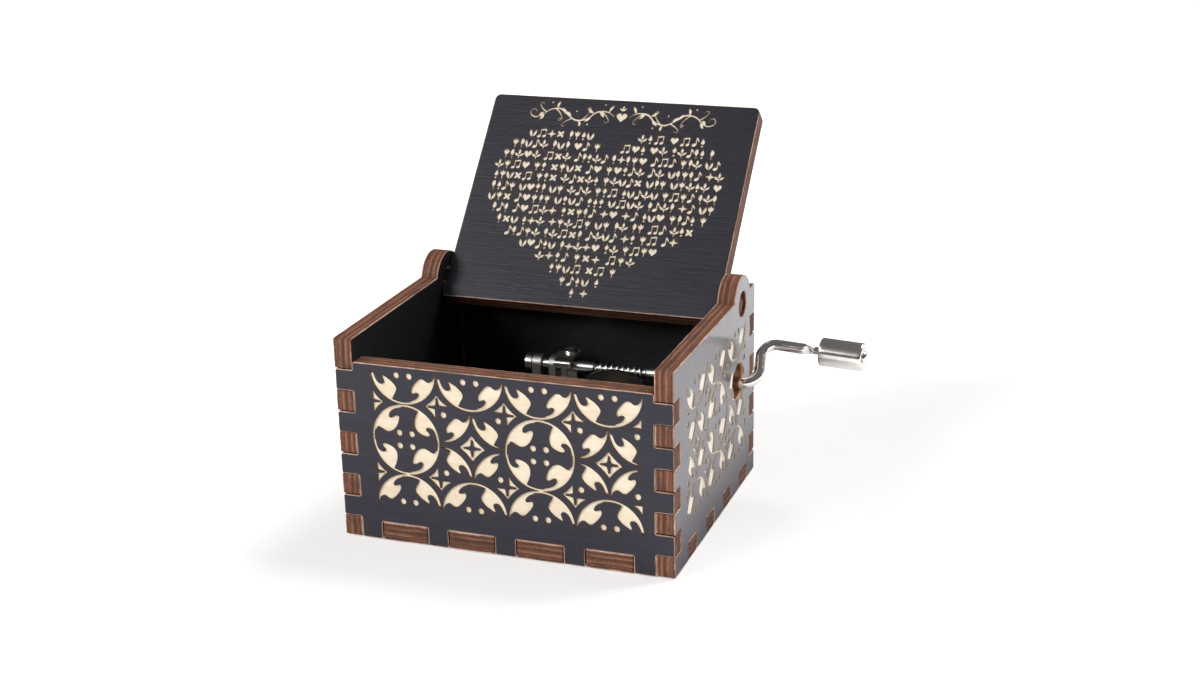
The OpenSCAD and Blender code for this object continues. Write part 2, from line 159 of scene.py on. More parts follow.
def quadrant(cx, cy, sx, sy, size=2.32, arm=1.8, open_x=False, open_y=False):
    """One quarter of a diamond that a four-pointed star divides."""
    if open_y:
        up = [(0.36, 0.6), (0.36, size - 0.5), (0.42, size - 0.34), (0.56, size - 0.3)]
        start = (0.6, size - 0.4)
    else:
        up = [(0.24, 0.8), (0.17, 1.3), (0.14, arm - 0.12), (0.0, arm), (0.0, size),
              (0.14, size - 0.08)]
        start = (0.2, size - 0.15)
    if open_x:
        down = [(size - 0.3, 0.56), (size - 0.34, 0.42), (size - 0.5, 0.36), (0.6, 0.36)]
        end = (size - 0.4, 0.6)
    else:
        down = [(size - 0.08, 0.14), (size, 0.0), (arm, 0.0), (arm - 0.12, 0.14), (1.3, 0.17),
                (0.8, 0.24)]
        end = (size - 0.15, 0.2)
    c = 0.432 * size
    side = []
    for i in range(7):
        t = i / 6
        side.append(((1 - t) ** 2 * start[0] + 2 * t * (1 - t) * c + t * t * end[0],
                     (1 - t) ** 2 * start[1] + 2 * t * (1 - t) * c + t * t * end[1]))
    return [(cx + sx * x, cy + sy * y) for x, y in [(0.36, 0.36)] + up + side + down]


def ornament(x0, kinds, shift=0.0, pitch=12.9):
    """Lattice of rings, leaves, star cells and split diamonds. Each shape is (outline, holes)."""
    zt, zm, zb = 33.9 + shift, 20.38 + shift, 6.9 + shift
    out = []
    n = len(kinds)
    ro, ri = (6.52, 6.72), (6.08, 6.26)
    for i, kind in enumerate(kinds):
        cx = x0 + pitch * i
        out.append((band(cx, zt, ro, ri, 184.5, 355.5), []))
        out.append((leaf(LEAF_D, cx, zt), []))
        out.append((leaf(LEAF_C, cx, zt), []))
        out.append((band(cx, zb, ro, ri, 3.5, 176.5), []))
        out.append((leaf(LEAF_C, cx, zb, True), []))
        out.append((leaf(LEAF_D, cx, zb, True), []))
        for s in (-1, 1):
            out.append((ellipse(cx + s * 1.24, zt - 1.27, 0.6, 0.62, 20), []))
            out.append((ellipse(cx + s * 1.24, zb + 1.27, 0.6, 0.62, 20), []))
        if kind == "ring":
            out.append((ellipse(cx, zm, 6.6, 6.8, 110), [ellipse(cx, zm, 6.16, 6.34, 110)]))
            for f, turn in ((LEAF_A, 0), (LEAF_B, 0), (LEAF_A, 1), (LEAF_B, 1)):
                out.append((leaf(f, cx, zm, bool(turn), 6.4), []))
            for s in (-1, 1):
                for t in (-1, 1):
                    out.append((ellipse(cx + s * 1.23, zm + t * 1.24, 0.6, 0.62, 20), []))
        else:
            zu, zl = zt - 6.8, zb + 6.66
            zc = 20.2 + shift
            r1, r2 = (6.46, 6.5), (6.06, 6.1)
            out.append((band(cx - 6.45, zu, r1, r2, -85.5, 0, 36, 0.2), []))
            out.append((leaf(LEAF_C, cx - 6.45, zu, False, 6.28), []))
            out.append((band(cx + 6.45, zu, r1, r2, 180, 265.5, 36, 0.2), []))
            out.append((leaf(LEAF_D, cx + 6.45, zu, False, 6.28), []))
            out.append((band(cx - 6.45, zl, r1, r2, 4, 85.5, 36, 0.2), []))
            out.append((leaf(LEAF_D, cx - 6.45, zl, True, 6.28), []))
            out.append((band(cx + 6.45, zl, r1, r2, 94.5, 176, 36, 0.2), []))
            out.append((leaf(LEAF_C, cx + 6.45, zl, True, 6.28), []))
            for s in (-1, 1):
                for t in (-1, 1):
                    out.append((quadrant(cx, zc, s, t, 2.45, 1.65), []))
    for i in range(n + 1):
        qx = x0 + pitch * (i - 0.5)
        for qz, t_open in ((zt - 6.6, -1), (zb + 6.65, 1)):
            star_right = i < n and kinds[i] == "star"
            star_left = i > 0 and kinds[i - 1] == "star"
            have = {(s, t) for s in (-1, 1) for t in (-1, 1)}
            if star_right:
                have.discard((1, t_open))
            if star_left:
                have.discard((-1, t_open))
            if i == 0:
                have = {q for q in have if q[0] > 0}
            if i == n:
                have = {q for q in have if q[0] < 0}
            for s, t in have:
                out.append((quadrant(qx, qz, s, t, open_x=(s, -t) not in have,
                                     open_y=(-s, t) not in have), []))
            if star_right:
                out.append((ellipse(qx + 1.2, qz + t_open * 1.27, 0.6, 0.62, 20), []))
            if star_left:
                out.append((ellipse(qx - 1.2, qz + t_open * 1.27, 0.6, 0.62, 20), []))
    return out


def mirrored(shapes):
    return [([(-x, y) for x, y in loop], [[(-x, y) for x, y in h] for h in holes])
            for loop, holes in shapes]


# ------------------------------------------------------------------ lid: heart of motifs
def place(loop, x, y, s=1.0, rot=0.0, sx=1.0):
    c, k = math.cos(rot), math.sin(rot)
    return [(x + s * (sx * px * c - py * k), y + s * (sx * px * k + py * c)) for px, py in loop]


def pointed(length, width, bend=0.0, n=9):
    """A leaf with two pointed ends, lying along +y from the origin."""
    a, b = [], []
    for i in range(n + 1):
        t = i / n
        w = width / 2 * math.sin(PI * t) ** 0.8
        x = bend * math.sin(PI * t)
        a.append((x + w, length * t))
        b.append((x - w, length * t))
    return a[:-1] + [(0, length)] + b[1:-1][::-1]


def heart(w=1.5, h=1.5, n=28):
    out = []
    for i in range(n):
        t = 2 * PI * i / n
        x = 16 * math.sin(t) ** 3
        y = 13 * math.cos(t) - 5 * math.cos(2 * t) - 2 * math.cos(3 * t) - math.cos(4 * t)
        out.append((x / 32 * w, (y + 2.5) / 29 * h))
    return out


def motif(kind, flip):
    """Small ornaments 2.1 mm high: returns (width, loops), centred on y = 0."""
    f = -1 if flip else 1
    if kind == 0:      # upright leaf with a stalk
        return 0.9, [place(pointed(1.62, 0.86, 0.1 * f), 0, -0.5), stroke(
            [(0, -0.5), (0.02 * f, -0.8), (-0.12 * f, -1.08)], [0.26, 0.26, 0.24])]
    if kind == 1:      # sprig of three leaves
        return 1.6, [place(pointed(1.36, 0.62), 0, -0.25),
                     place(pointed(1.22, 0.56), 0.05, -0.55, 1, -0.95),
                     place(pointed(1.22, 0.56), -0.05, -0.55, 1, 0.95),
                     stroke([(0, -0.3), (0, -0.7), (0.05 * f, -1.08)], [0.28, 0.28, 0.26])]
    if kind == 2:      # heart
        return 1.65, [place(heart(1.7, 1.75), 0, -0.02)]
    if kind == 3:      # note
        return 1.3, [place(ellipse(0, 0, 0.52, 0.38, 16), -0.22, -0.68, 1, 0.35),
                     [(0.02, -0.65), (0.3, -0.65), (0.3, 1.06), (0.02, 1.06)],
                     stroke([(0.2, 0.96), (0.42, 0.6), (0.66, 0.28), (0.58, -0.1)],
                            [0.36, 0.34, 0.26, 0.14])]
    if kind == 4:      # four-petalled flower
        return 1.6, [place(pointed(0.98, 0.62), 0, 0, 1, PI / 4 + k * PI / 2) for k in range(4)] + [
            ellipse(0, 0, 0.25, 0.25, 10)]
    if kind == 5:      # lozenge over a dot
        return 1.05, [[(0, 1.08), (0.52, 0.32), (0, -0.42), (-0.52, 0.32)],
                      ellipse(0, -0.8, 0.26, 0.26, 10)]
    if kind == 6:      # pair of beamed notes
        return 2.0, [place(ellipse(0, 0, 0.44, 0.34, 14), -0.6, -0.72, 1, 0.35),
                     place(ellipse(0, 0, 0.44, 0.34, 14), 0.52, -0.6, 1, 0.35),
                     [(-0.42, -0.7), (-0.18, -0.7), (-0.18, 0.58), (0.66, 0.68), (0.66, -0.55),
                      (0.9, -0.55), (0.9, 1.08), (-0.42, 0.94)]]
    if kind == 7:      # star
        loop = []
        for k in range(8):
            r = 1.02 if k % 2 == 0 else 0.42
            loop.append((r * math.sin(k * PI / 4), r * math.cos(k * PI / 4)))
        return 1.65, [loop]
    if kind == 8:      # two leaves leaning apart
        return 1.4, [place(pointed(1.9, 0.64, 0.1), 0.04, -1.02, 1, -0.33),
                     place(pointed(1.9, 0.64, -0.1), -0.04, -1.02, 1, 0.33)]
    if kind == 10:     # tulip
        return 1.35, [[(-0.6, 1.0), (-0.3, 0.55), (0, 1.05), (0.3, 0.55), (0.6, 1.0), (0.62, 0.3), (0.42, -0.1),
                       (0.16, -0.28), (0.14, -1.06), (-0.14, -1.06), (-0.16, -0.28), (-0.42, -0.1), (-0.62, 0.3)]]
    # drop with a dot under it
    return 0.95, [[(0, 1.08), (0.24, 0.5), (0.44, 0.12), (0.42, -0.16), (0.22, -0.36), (0, -0.42),
                   (-0.22, -0.36), (-0.42, -0.16), (-0.44, 0.12), (-0.24, 0.5)],
                  ellipse(0, -0.82, 0.25, 0.25, 10)]


HEART_ROWS = [(33.0, [(-18.5, -5.0), (4.8, 18.5)]), (30.5, [(-21.7, -3.0), (1.8, 20.8)]),
              (28.0, [(-23.1, 22.3)]), (25.5, [(-24.0, 23.3)]), (23.1, [(-24.1, 23.4)]),
              (20.6, [(-24.0, 23.4)]), (18.2, [(-23.9, 23.0)]), (15.75, [(-22.8, 22.0)]),
              (13.25, [(-21.0, 19.7)]), (10.8, [(-18.5, 17.0)]), (8.3, [(-14.8, 13.3)]),
              (5.9, [(-10.7, 9.3)]), (3.4, [(-7.6, 6.2)]), (0.9, [(-4.8, 3.5)]),
              (-1.6, [(-2.3, 1.4)])]


def heart_field():
    rnd = random.Random(41)
    out = []
    bag = [0, 3, 8, 1, 9, 6, 5, 2, 10, 4, 8, 3, 7, 0, 10, 1]
    for b, runs in HEART_ROWS:
        for lo, hi in runs:
            items, x, since, last = [], 0.0, 0, None
            goal = rnd.choice((3, 4, 5))
            while True:
                kind = rnd.choice(bag)
                if kind == last:
                    continue
                w, loops = motif(kind, rnd.random() < 0.5)
                if x + w > hi - lo + 0.25:
                    break
                items.append((x + w / 2, loops))
                x += w + 0.2
                last = kind
                since += 1
                if since >= goal:
                    x += 0.72
                    since, goal = 0, rnd.choice((2, 3, 4, 5))
            if not items:
                continue
            span = items[-1][0] - items[0][0]
            first = items[0][0]
            half = 0.6
            k = (hi - lo - 2 * half) / span if span > 0.1 else 1
            if span <= 0.1:
                items = [((lo + hi) / 2, items[0][1])]
                k, first, base = 1, (lo + hi) / 2, (lo + hi) / 2
            else:
                base = lo + half
            for cx, loops in items:
                px = base + (cx - first) * k
                dy = rnd.uniform(-0.07, 0.07)
                for loop in loops:
                    out.append(([(px + x, b + dy + y) for x, y in loop], []))
    return out


def flourish():
    """A vine across the top of the lid, in place of a title."""
    out = []
    b0 = 37.6
    for s in (-1, 1):
        out.append((stroke([(s * 1.5, b0 + 0.1), (s * 3.2, b0 + 1.1), (s * 5.4, b0 + 0.9), (s * 7.2, b0 - 0.7),
                            (s * 9.4, b0 - 1.2), (s * 11.5, b0 + 0.0), (s * 13.3, b0 + 1.3),
                            (s * 15.4, b0 + 1.0), (s * 16.9, b0 - 0.3), (s * 18.3, b0 - 0.9),
                            (s * 19.5, b0 - 0.2), (s * 19.3, b0 + 0.8), (s * 18.5, b0 + 0.8),
                            (s * 18.3, b0 + 0.25)],
                           [0.16, 0.3, 0.42, 0.3, 0.42, 0.28, 0.4, 0.32, 0.26, 0.3, 0.26, 0.22, 0.16, 0.12]), []))
        for x, y, dx, dy, c in ((4.4, 1.1, -1.6, -2.0, 1), (8.4, -1.1, -1.4, 2.4, -1),
                                (10.4, -0.8, 1.7, -1.5, 1), (14.3, 1.3, -1.6, -2.2, 1),
                                (16.2, 0.4, 1.5, 1.7, -1)):
            curl = [(s * x, b0 + y), (s * (x + 0.55 * dx), b0 + y + 0.35 * dy),
                    (s * (x + dx), b0 + y + 0.8 * dy), (s * (x + 1.1 * dx), b0 + y + dy * 1.15),
                    (s * (x + 0.75 * dx), b0 + y + dy * 1.25), (s * (x + 0.55 * dx), b0 + y + dy * 1.0)]
            out.append((stroke(curl, [0.32, 0.28, 0.24, 0.2, 0.16, 0.12], 5), []))
        for x, y, ang, ln in ((2.9, 1.0, -0.5, 1.9), (6.0, 0.6, 0.9, 1.9), (6.4, 0.0, 2.4, 2.0),
                              (8.9, -1.2, 3.4, 1.5), (11.4, 0.0, 0.75, 2.2), (12.3, 0.7, -2.1, 1.9),
                              (14.0, 1.35, -0.2, 1.7), (16.6, 0.0, 2.7, 1.7), (17.6, -0.7, -0.7, 1.4),
                              (4.9, 1.0, 3.9, 1.7)):
            out.append((place(pointed(ln, 0.62, 0.12 * s), s * x, b0 + y, 1, -s * ang), []))
        for x, y in ((3.9, 2.7), (9.7, 0.9), (12.9, -1.0), (15.3, 2.7), (6.9, -2.0)):
            out.append((ellipse(s * x, b0 + y, 0.22, 0.22, 12), []))
    out.append((place(heart(2.3, 2.2), 0, b0 - 0.1), []))
    out.append((place(pointed(1.3, 0.5), 0, b0 + 1.5), []))
    out.append((place(pointed(1.1, 0.4), 0, b0 + 1.45, 1, 0.8), []))
    out.append((place(pointed(1.1, 0.4), 0, b0 + 1.45, 1, -0.8), []))
    return out


# ------------------------------------------------------------------ outlines
def rect_walk(pts):
    out = []
    for p in pts:
        if not out or (abs(out[-1][0] - p[0]) + abs(out[-1][1] - p[1]) > 1e-6):
            out.append(p)
    return out


FINGER = 4.1
HW, HD = 32.0, 26.0


def end_outline(top):
    p = [(-28.5, 0)]
    for c in (-19.8, -6.6, 6.6, 19.8):
        p += [(c - 4.55, 0), (c - 4.55, PLY), (c + 4.55, PLY), (c + 4.55, 0)]
    p += [(28.5, 0)]
    right = []
    for k in (1, 3, 5, 7):
        right += [(28.5, k * FINGER), (32, k * FINGER), (32, (k + 1) * FINGER), (28.5, (k + 1) * FINGER)]
    p += right + [(28.5, top), (-28.5, top)]
    p += [(-x, z) for x, z in right[::-1]]
    return rect_walk(p)


SIDE_C = [-15.4 + 11.15 * k for k in range(4)]
PIVOT = (17.3, 37.0)
EAR = 5.6


def side_outline(flip):
    """Outline in (y, z); flip mirrors it for the panel seen from the other side."""
    p = [(-26, 0)]
    for c in SIDE_C:
        p += [(c - 2.5, 0), (c - 2.5, PLY), (c + 2.5, PLY), (c + 2.5, 0)]
    p += [(26, 0)]
    right = []
    for k in (1, 3, 5, 7):
        right += [(26, k * FINGER), (22.5, k * FINGER), (22.5, (k + 1) * FINGER), (26, (k + 1) * FINGER)]
    p += right + [(26, 38.6)]
    a0 = math.asin((38.6 - PIVOT[1]) / EAR)
    n = 40
    for i in range(n + 1):
        a = a0 + (PI - 2 * a0) * i / n
        p.append((PIVOT[0] + EAR * math.cos(a), PIVOT[1] + EAR * math.sin(a)))
    p += [(-26, 38.6)] + [(-y, z) for y, z in right[::-1]]
    p = rect_walk(p)
    if flip:
        p = [(-y, z) for y, z in p][::-1]
    return p


def floor_outline():
    p = []
    for s in (0, 1):
        side = [(28.5, -22.5)]
        for c in SIDE_C:
            side += [(28.5, c - 2.5), (32, c - 2.5), (32, c + 2.5), (28.5, c + 2.5)]
        side += [(28.5, 22.5)]
        end = []
        for c in (19.8, 6.6, -6.6, -19.8):
            end += [(c + 4.55, 22.5), (c + 4.55, 26), (c - 4.55, 26), (c - 4.55, 22.5)]
        if s == 0:
            p += side + end
        else:
            p += [(-x, y) for x, y in side[::-1]] + [(x, -y) for x, y in end[::-1]]
    # the panel is drawn seen from below: b runs towards the front
    return rect_walk([(x, -y) for x, y in p][::-1])


def lid_outline():
    return [(-28.1, -4.6), (28.1, -4.6), (28.1, -1.6), (31.6, -1.6), (31.6, 1.6), (28.1, 1.6),
            (28.1, 41.6), (-28.1, 41.6), (-28.1, 1.6), (-31.6, 1.6), (-31.6, -1.6), (-28.1, -1.6)]


def area(poly):
    return 0.5 * sum(poly[i - 1][0] * poly[i][1] - poly[i][0] * poly[i - 1][1]
                     for i in range(len(poly)))


def inset(poly, d):
    """Moves every side of a counter-clockwise polygon inwards by d."""
    out = []
    n = len(poly)
    for i in range(n):
        a, b, c = np.array(poly[i - 1]), np.array(poly[i]), np.array(poly[(i + 1) % n])
        u, v = b - a, c - b
        u, v = u / np.linalg.norm(u), v / np.linalg.norm(v)
        n1, n2 = np.array((-u[1], u[0])), np.array((-v[1], v[0]))
        m = (n1 + n2) / max(0.2, 1 + float(n1 @ n2))
        out.append(tuple(b + m * d))
    return out


def fillet(poly, convex, concave, special=None, seg=4):
    out = []
    n = len(poly)
    for i in range(n):
        a, b, c = np.array(poly[i - 1]), np.array(poly[i]), np.array(poly[(i + 1) % n])
        u, v = a - b, c - b
        lu, lv = np.linalg.norm(u), np.linalg.norm(v)
        u, v = u / lu, v / lv
        turn = PI - math.acos(max(-1, min(1, float(u @ v))))
        if turn < 0.35:
            out.append(tuple(b))
            continue
        cross = (b - a)[0] * (c - b)[1] - (b - a)[1] * (c - b)[0]
        r = convex if cross > 0 else concave
        if special:
            for (sx, sy), sr in special:
                if abs(b[0] - sx) + abs(b[1] - sy) < 1.0:
                    r = sr
        t = min(r * math.tan(turn / 2), lu * 0.45, lv * 0.45)
        r = t / math.tan(turn / 2)
        p0, p1 = b + u * t, b + v * t
        mid = (u + v) / np.linalg.norm(u + v)
        centre = b + mid * (r / math.cos(turn / 2))
        v0, v1 = p0 - centre, p1 - centre
        a0, a1 = math.atan2(v0[1], v0[0]), math.atan2(v1[1], v1[0])
        d = (a1 - a0 + PI) % (2 * PI) - PI
        m = seg if r < 0.7 else 8
        for k in range(m + 1):
            ang = a0 + d * k / m
            out.append((centre[0] + r * math.cos(ang), centre[1] + r * math.sin(ang)))
    return out


def divide(poly, step):
    out = []
    n = len(poly)
    for i in range(n):
        a, b = poly[i], poly[(i + 1) % n]
        k = max(1, int(round(math.hypot(b[0] - a[0], b[1] - a[1]) / step)))
        for j in range(k):
            out.append((a[0] + (b[0] - a[0]) * j / k, a[1] + (b[1] - a[1]) * j / k))
    return out


def inside(poly, pts):
    """Which points lie in a polygon."""
    poly = np.asarray(poly, float)
    lo, hi = poly.min(0), poly.max(0)
    cand = np.nonzero((pts[:, 0] > lo[0]) & (pts[:, 0] < hi[0]) & (pts[:, 1] > lo[1]) & (pts[:, 1] < hi[1]))[0]
    res = np.zeros(len(pts), bool)
    if len(cand) == 0:
        return res
    x, y = pts[cand, 0], pts[cand, 1]
    flag = np.zeros(len(cand), bool)
    nxt = np.roll(poly, -1, 0)
    for (x1, y1), (x2, y2) in zip(poly, nxt):
        if y1 == y2:
            continue
        c = (y1 > y) != (y2 > y)
        flag ^= c & (x < (x2 - x1) * (y - y1) / (y2 - y1) + x1)
    res[cand] = flag
    return res


# ------------------------------------------------------------------ plywood panels
CHAMFER = 0.13
GAP = 0.045


def tree(points):
    t = kdtree.KDTree(len(points))
    for i, p in enumerate(points):
        t.insert((p[0], p[1], 0), i)
    t.balance()
    return t


def fill_side(loops, shapes, seed, spacing=1.3):
    """Triangulates one face. Returns vertices, triangles, which are engraved, and where each input loop vertex went."""
    rnd = random.Random(seed)
    pts, edges = [], []
    for loop in loops:
        k = len(pts)
        pts += list(loop)
        edges += [(k + i, k + (i + 1) % len(loop)) for i in range(len(loop))]
    n_loop = len(pts)
    rings = [r for outer, holes in shapes for r in [outer] + list(holes)]
    for r in rings:
        k = len(pts)
        pts += list(r)
        edges += [(k + i, k + (i + 1) % len(r)) for i in range(len(r))]
    near = tree(pts)
    free = []
    for group, dist in ((rings, 0.15), (loops, 0.3)):
        for r in group:
            m = len(r)
            for i in range(m):
                a, b = r[i - 1], r[(i + 1) % m]
                dx, dy = b[0] - a[0], b[1] - a[1]
                k = math.hypot(dx, dy) or 1
                for s in (-1, 1):
                    q = (r[i][0] - s * dy / k * dist, r[i][1] + s * dx / k * dist)
                    if near.find((q[0], q[1], 0))[2] > dist * 0.8:
                        free.append(q)
    if free:
        kept, t2 = [], []
        order = sorted(range(len(free)), key=lambda i: (round(free[i][0], 1), free[i][1]))
        cells = {}
        for i in order:
            q = free[i]
            key = (int(q[0] / 0.09), int(q[1] / 0.09))
            if key in cells:
                continue
            cells[key] = 1
            kept.append(q)
        free = kept
    outer = np.asarray(loops[0])
    lo, hi = outer.min(0), outer.max(0)
    x = lo[0]
    while x < hi[0]:
        y = lo[1]
        while y < hi[1]:
            q = (x + rnd.uniform(-0.3, 0.3) * spacing, y + rnd.uniform(-0.3, 0.3) * spacing)
            if near.find((q[0], q[1], 0))[2] > 0.4:
                free.append(q)
            y += spacing
        x += spacing
    allp = pts + free
    V, E, F, oV, oE, oF = delaunay_2d_cdt([Vector((p[0], p[1])) for p in allp], edges, [], 0, 1e-5)
    V = np.array([(v[0], v[1]) for v in V])
    F = np.array([f for f in F if len(f) == 3])
    c = V[F].mean(1)
    keep = inside(loops[0], c)
    for h in loops[1:]:
        keep &= ~inside(h, c)
    F, c = F[keep], c[keep]
    e1, e2 = V[F[:, 1]] - V[F[:, 0]], V[F[:, 2]] - V[F[:, 0]]
    ar = e1[:, 0] * e2[:, 1] - e1[:, 1] * e2[:, 0]
    F[ar < 0] = F[ar < 0][:, ::-1]
    low = np.zeros(len(F), bool)
    for outer_loop, holes in shapes:
        f = inside(outer_loop, c)
        for h in holes:
            f &= ~inside(h, c)
        low |= f
    where = {}
    for i, src in enumerate(oV):
        for s in src:
            if s < n_loop:
                where[s] = i
    return V, F, low, where


def wave_noise(seed):
    rnd = random.Random(seed)
    terms = [(rnd.uniform(0.15, 5.5), rnd.uniform(0.5, 7), rnd.uniform(0, 6.28), rnd.uniform(0.4, 1)) for _ in range(9)]
    total = sum(t[3] for t in terms)
    return lambda u, d: sum(w * math.sin(a * u + b * d + c) for a, b, c, w in terms) / total


def panel(name, outline, holes, mapf, body, mats, top=(), back=(), cut=0.24, cut_back=0.14,
          seed=1, special=None, hole_profile=None, node=None, thick=PLY, gaps=GAP):
    """A laser-cut plywood panel. (a, b) is its outer face, with depth running inwards."""
    rnd = random.Random(seed)
    base = divide(fillet(inset(outline, gaps + CHAMFER), 0.26, 0.4, special), 0.75)
    loops = [base]
    for cx, cy, r, n in holes:
        loops.append(ellipse(cx, cy, r + (0 if hole_profile else CHAMFER), r + (0 if hole_profile else CHAMFER), n)[::-1])
    V, F, low, where = fill_side(loops, list(top), seed)

    verts, pc, ev, burn, rim = [], [], [], [], []

    def add(a, b, d, e=(0, 0, 0), bu=0.0, ri=0.0):
        verts.append(mapf(a, b, d))
        pc.append((a, b, d))
        ev.append(e)
        burn.append(bu)
        rim.append(ri)
        return len(verts) - 1

    faces, mat_i = [], []

    def side(V, F, low, z_face, z_low, flip, shade):
        """Adds one face and its engraving. Returns the vertex index by (vertex, level) and the open edges."""
        edge = {}
        for t, f in enumerate(F):
            for k in range(3):
                edge.setdefault((int(f[k]), int(f[(k + 1) % 3])), t)
        walls, opened = [], []
        for (p, q), t in edge.items():
            o = edge.get((q, p))
            if o is None:
                opened.append((p, q, bool(low[t])))
            elif low[o] and not low[t]:
                walls.append((p, q))
        samples = []
        for p, q in walls:
            samples += [V[p], V[q], (V[p] + V[q]) / 2]
        wt = tree(samples) if samples else None
        ot = tree([V[p] for p, q, _ in opened])
        index = {}

        def vert(v, lev):
            key = (v, lev)
            if key not in index:
                a, b = V[v]
                dw = wt.find((a, b, 0))[2] if wt else 9
                do = ot.find((a, b, 0))[2]
                z = z_low + (0.018 * (rnd.random() - 0.5)) if lev else z_face
                index[key] = add(a, b, z, (0, 0, 0),
                                 (0.8 if lev else 1.0) * math.exp(-(dw / (0.085 if lev else 0.08)) ** 2),
                                 math.exp(-(do / 0.25) ** 2))
            return index[key]

        for t, f in enumerate(F):
            lev = bool(low[t])
            i = [vert(int(v), lev) for v in f]
            faces.append(i[::-1] if flip else i)
            mat_i.append(shade[1] if lev else shade[0])
        for p, q in walls:
            a, b, c, d = vert(q, False), vert(p, False), vert(p, True), vert(q, True)
            faces.append([b, a, d, c] if flip else [a, b, c, d])
            mat_i.append(3)
        return index, opened

    idx, opened = side(V, F, low, 0.0, cut, False, (0, 2))
    follow = {p: (q, lev) for p, q, lev in opened}
    chains, seen = [], set()
    for p0 in list(follow):
        if p0 in seen:
            continue
        chain, p = [], p0
        while p not in seen:
            seen.add(p)
            chain.append(p)
            p = follow[p][0]
        chains.append(chain)
    coords = [[tuple(V[p]) for p in ch] for ch in chains]

    # the far side, on the same outline
    def scaled(loop, k):
        if not hole_profile or area(loop) > 0:
            return loop
        c = np.mean(loop, 0)
        r0 = np.mean([np.hypot(*(np.array(q) - c)) for q in loop])
        return [tuple(c + (np.array(q) - c) * (hole_profile(k) / r0)) for q in loop]

    order = sorted(range(len(chains)), key=lambda i: -abs(area(coords[i])))
    back_loops = [scaled(coords[i], thick) for i in order]
    V2, F2, low2, where2 = fill_side(back_loops, list(back), seed + 50)
    idx2, opened2 = side(V2, F2, low2, thick, thick - cut_back, True, (4, 5))
    start, k = {}, 0
    for i in order:
        start[i] = k
        k += len(coords[i])

    noise = wave_noise(seed + 9)
    depths = [0.025, 0.07, 0.16, 0.5, 0.95, 1.03, 1.12, 1.6, 2.1, 2.2, 2.3, 2.75, 3.0]
    depths = [d for d in depths if d < thick - 0.25] + [thick - 0.16, thick - 0.07, thick - 0.025]
    glue = (0.32, 1.03, 2.2, 3.12)
    for ci, chain in enumerate(chains):
        loop = coords[ci]
        m = len(loop)
        u, us = 0.0, []
        for i in range(m):
            us.append(u + 37.3 * ci)
            b = loop[(i + 1) % m]
            u += math.hypot(b[0] - loop[i][0], b[1] - loop[i][1])
        normals = []
        for i in range(m):
            a, b, c = np.array(loop[i - 1]), np.array(loop[i]), np.array(loop[(i + 1) % m])
            e1, e2 = (b - a) / np.linalg.norm(b - a), (c - b) / np.linalg.norm(c - b)
            n1, n2 = np.array((e1[1], -e1[0])), np.array((e2[1], -e2[0]))
            normals.append((n1 + n2) / max(0.5, 1 + float(n1 @ n2)))
        kind = 0 if area(loop) > 0 else (2 if abs(area(loop)) > 30 else 1)
        lowv = {p for p in chain if (p, True) in idx}
        rows = []
        is_bore = hole_profile is not None and area(loop) < 0
        centre = np.mean(loop, 0)
        r0 = np.mean([np.hypot(*(np.array(q) - centre)) for q in loop])
        for ri, d in enumerate(depths):
            e = min(d, thick - d)
            if e < 0.03:
                off = CHAMFER * 0.45
            elif e < 0.08:
                off = CHAMFER * 0.82
            else:
                off = CHAMFER
            row = []
            for i, p in enumerate(chain):
                if is_bore:
                    q = centre + (np.array(loop[i]) - centre) * (hole_profile(d) / r0)
                else:
                    o = off
                    if e > 0.1:
                        rec = 0.02 * sum(math.exp(-((d - g) / 0.07) ** 2) for g in glue)
                        o = off - rec - 0.014 * (1 + noise(us[i], d))
                    q = np.array(loop[i]) + normals[i] * o
                dd = max(d, cut + 0.01 * (ri + 1)) if p in lowv and d < cut + 0.05 else d
                row.append(add(q[0], q[1], dd, (us[i], dd, kind), 0, 1))
            rows.append(row)
        # join the near face, the rings and the far face
        for i, p in enumerate(chain):
            j = (i + 1) % m
            q = chain[j]
            lev = follow[p][1]
            a, b = idx[(p, lev)], idx[(q, lev)]
            for v in (a, b):
                ev[v] = (us[i], 0.0, kind)
            faces.append([b, a, rows[0][i], rows[0][j]])
            mat_i.append(1)
            if p in lowv and (p, False) in idx:
                tri = [idx[(p, False)], idx[(p, True)], rows[0][i]]
                prev_lev = follow[chain[i - 1]][1]
                faces.append(tri if not prev_lev else tri[::-1])
                mat_i.append(3)
            for r in range(len(rows) - 1):
                faces.append([rows[r][j], rows[r][i], rows[r + 1][i], rows[r + 1][j]])
                mat_i.append(1)
            vi, vj = where2[start[ci] + i], where2[start[ci] + j]
            for lev2 in (False, True):
                if (vi, lev2) in idx2 and (vj, lev2) in idx2:
                    a2, b2 = idx2[(vi, lev2)], idx2[(vj, lev2)]
                    break
            ev[a2], ev[b2] = (us[i], thick, kind), (us[j], thick, kind)
            faces.append([rows[-1][j], rows[-1][i], a2, b2])
            mat_i.append(1)

    mesh = bpy.data.meshes.new(name)
    mesh.from_pydata(verts, [], faces)
    for key, data, kind in (("pc", pc, "FLOAT_VECTOR"), ("ev", ev, "FLOAT_VECTOR"),
                            ("burn", burn, "FLOAT"), ("rim", rim, "FLOAT")):
        at = mesh.attributes.new(key, kind, "POINT")
        at.data.foreach_set("vector" if kind == "FLOAT_VECTOR" else "value",
                            np.asarray(data, np.float32).ravel())
    for m in mats:
        mesh.materials.append(m)
    mesh.polygons.foreach_set("material_index", mat_i)
    mesh.polygons.foreach_set("use_smooth", [True] * len(faces))
    mesh.update()
    mesh.set_sharp_from_angle(angle=math.radians(38))
    obj = bpy.data.objects.new(name, mesh)
    COL.objects.link(obj)
    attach(obj, body)
    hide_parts(node)
    return obj


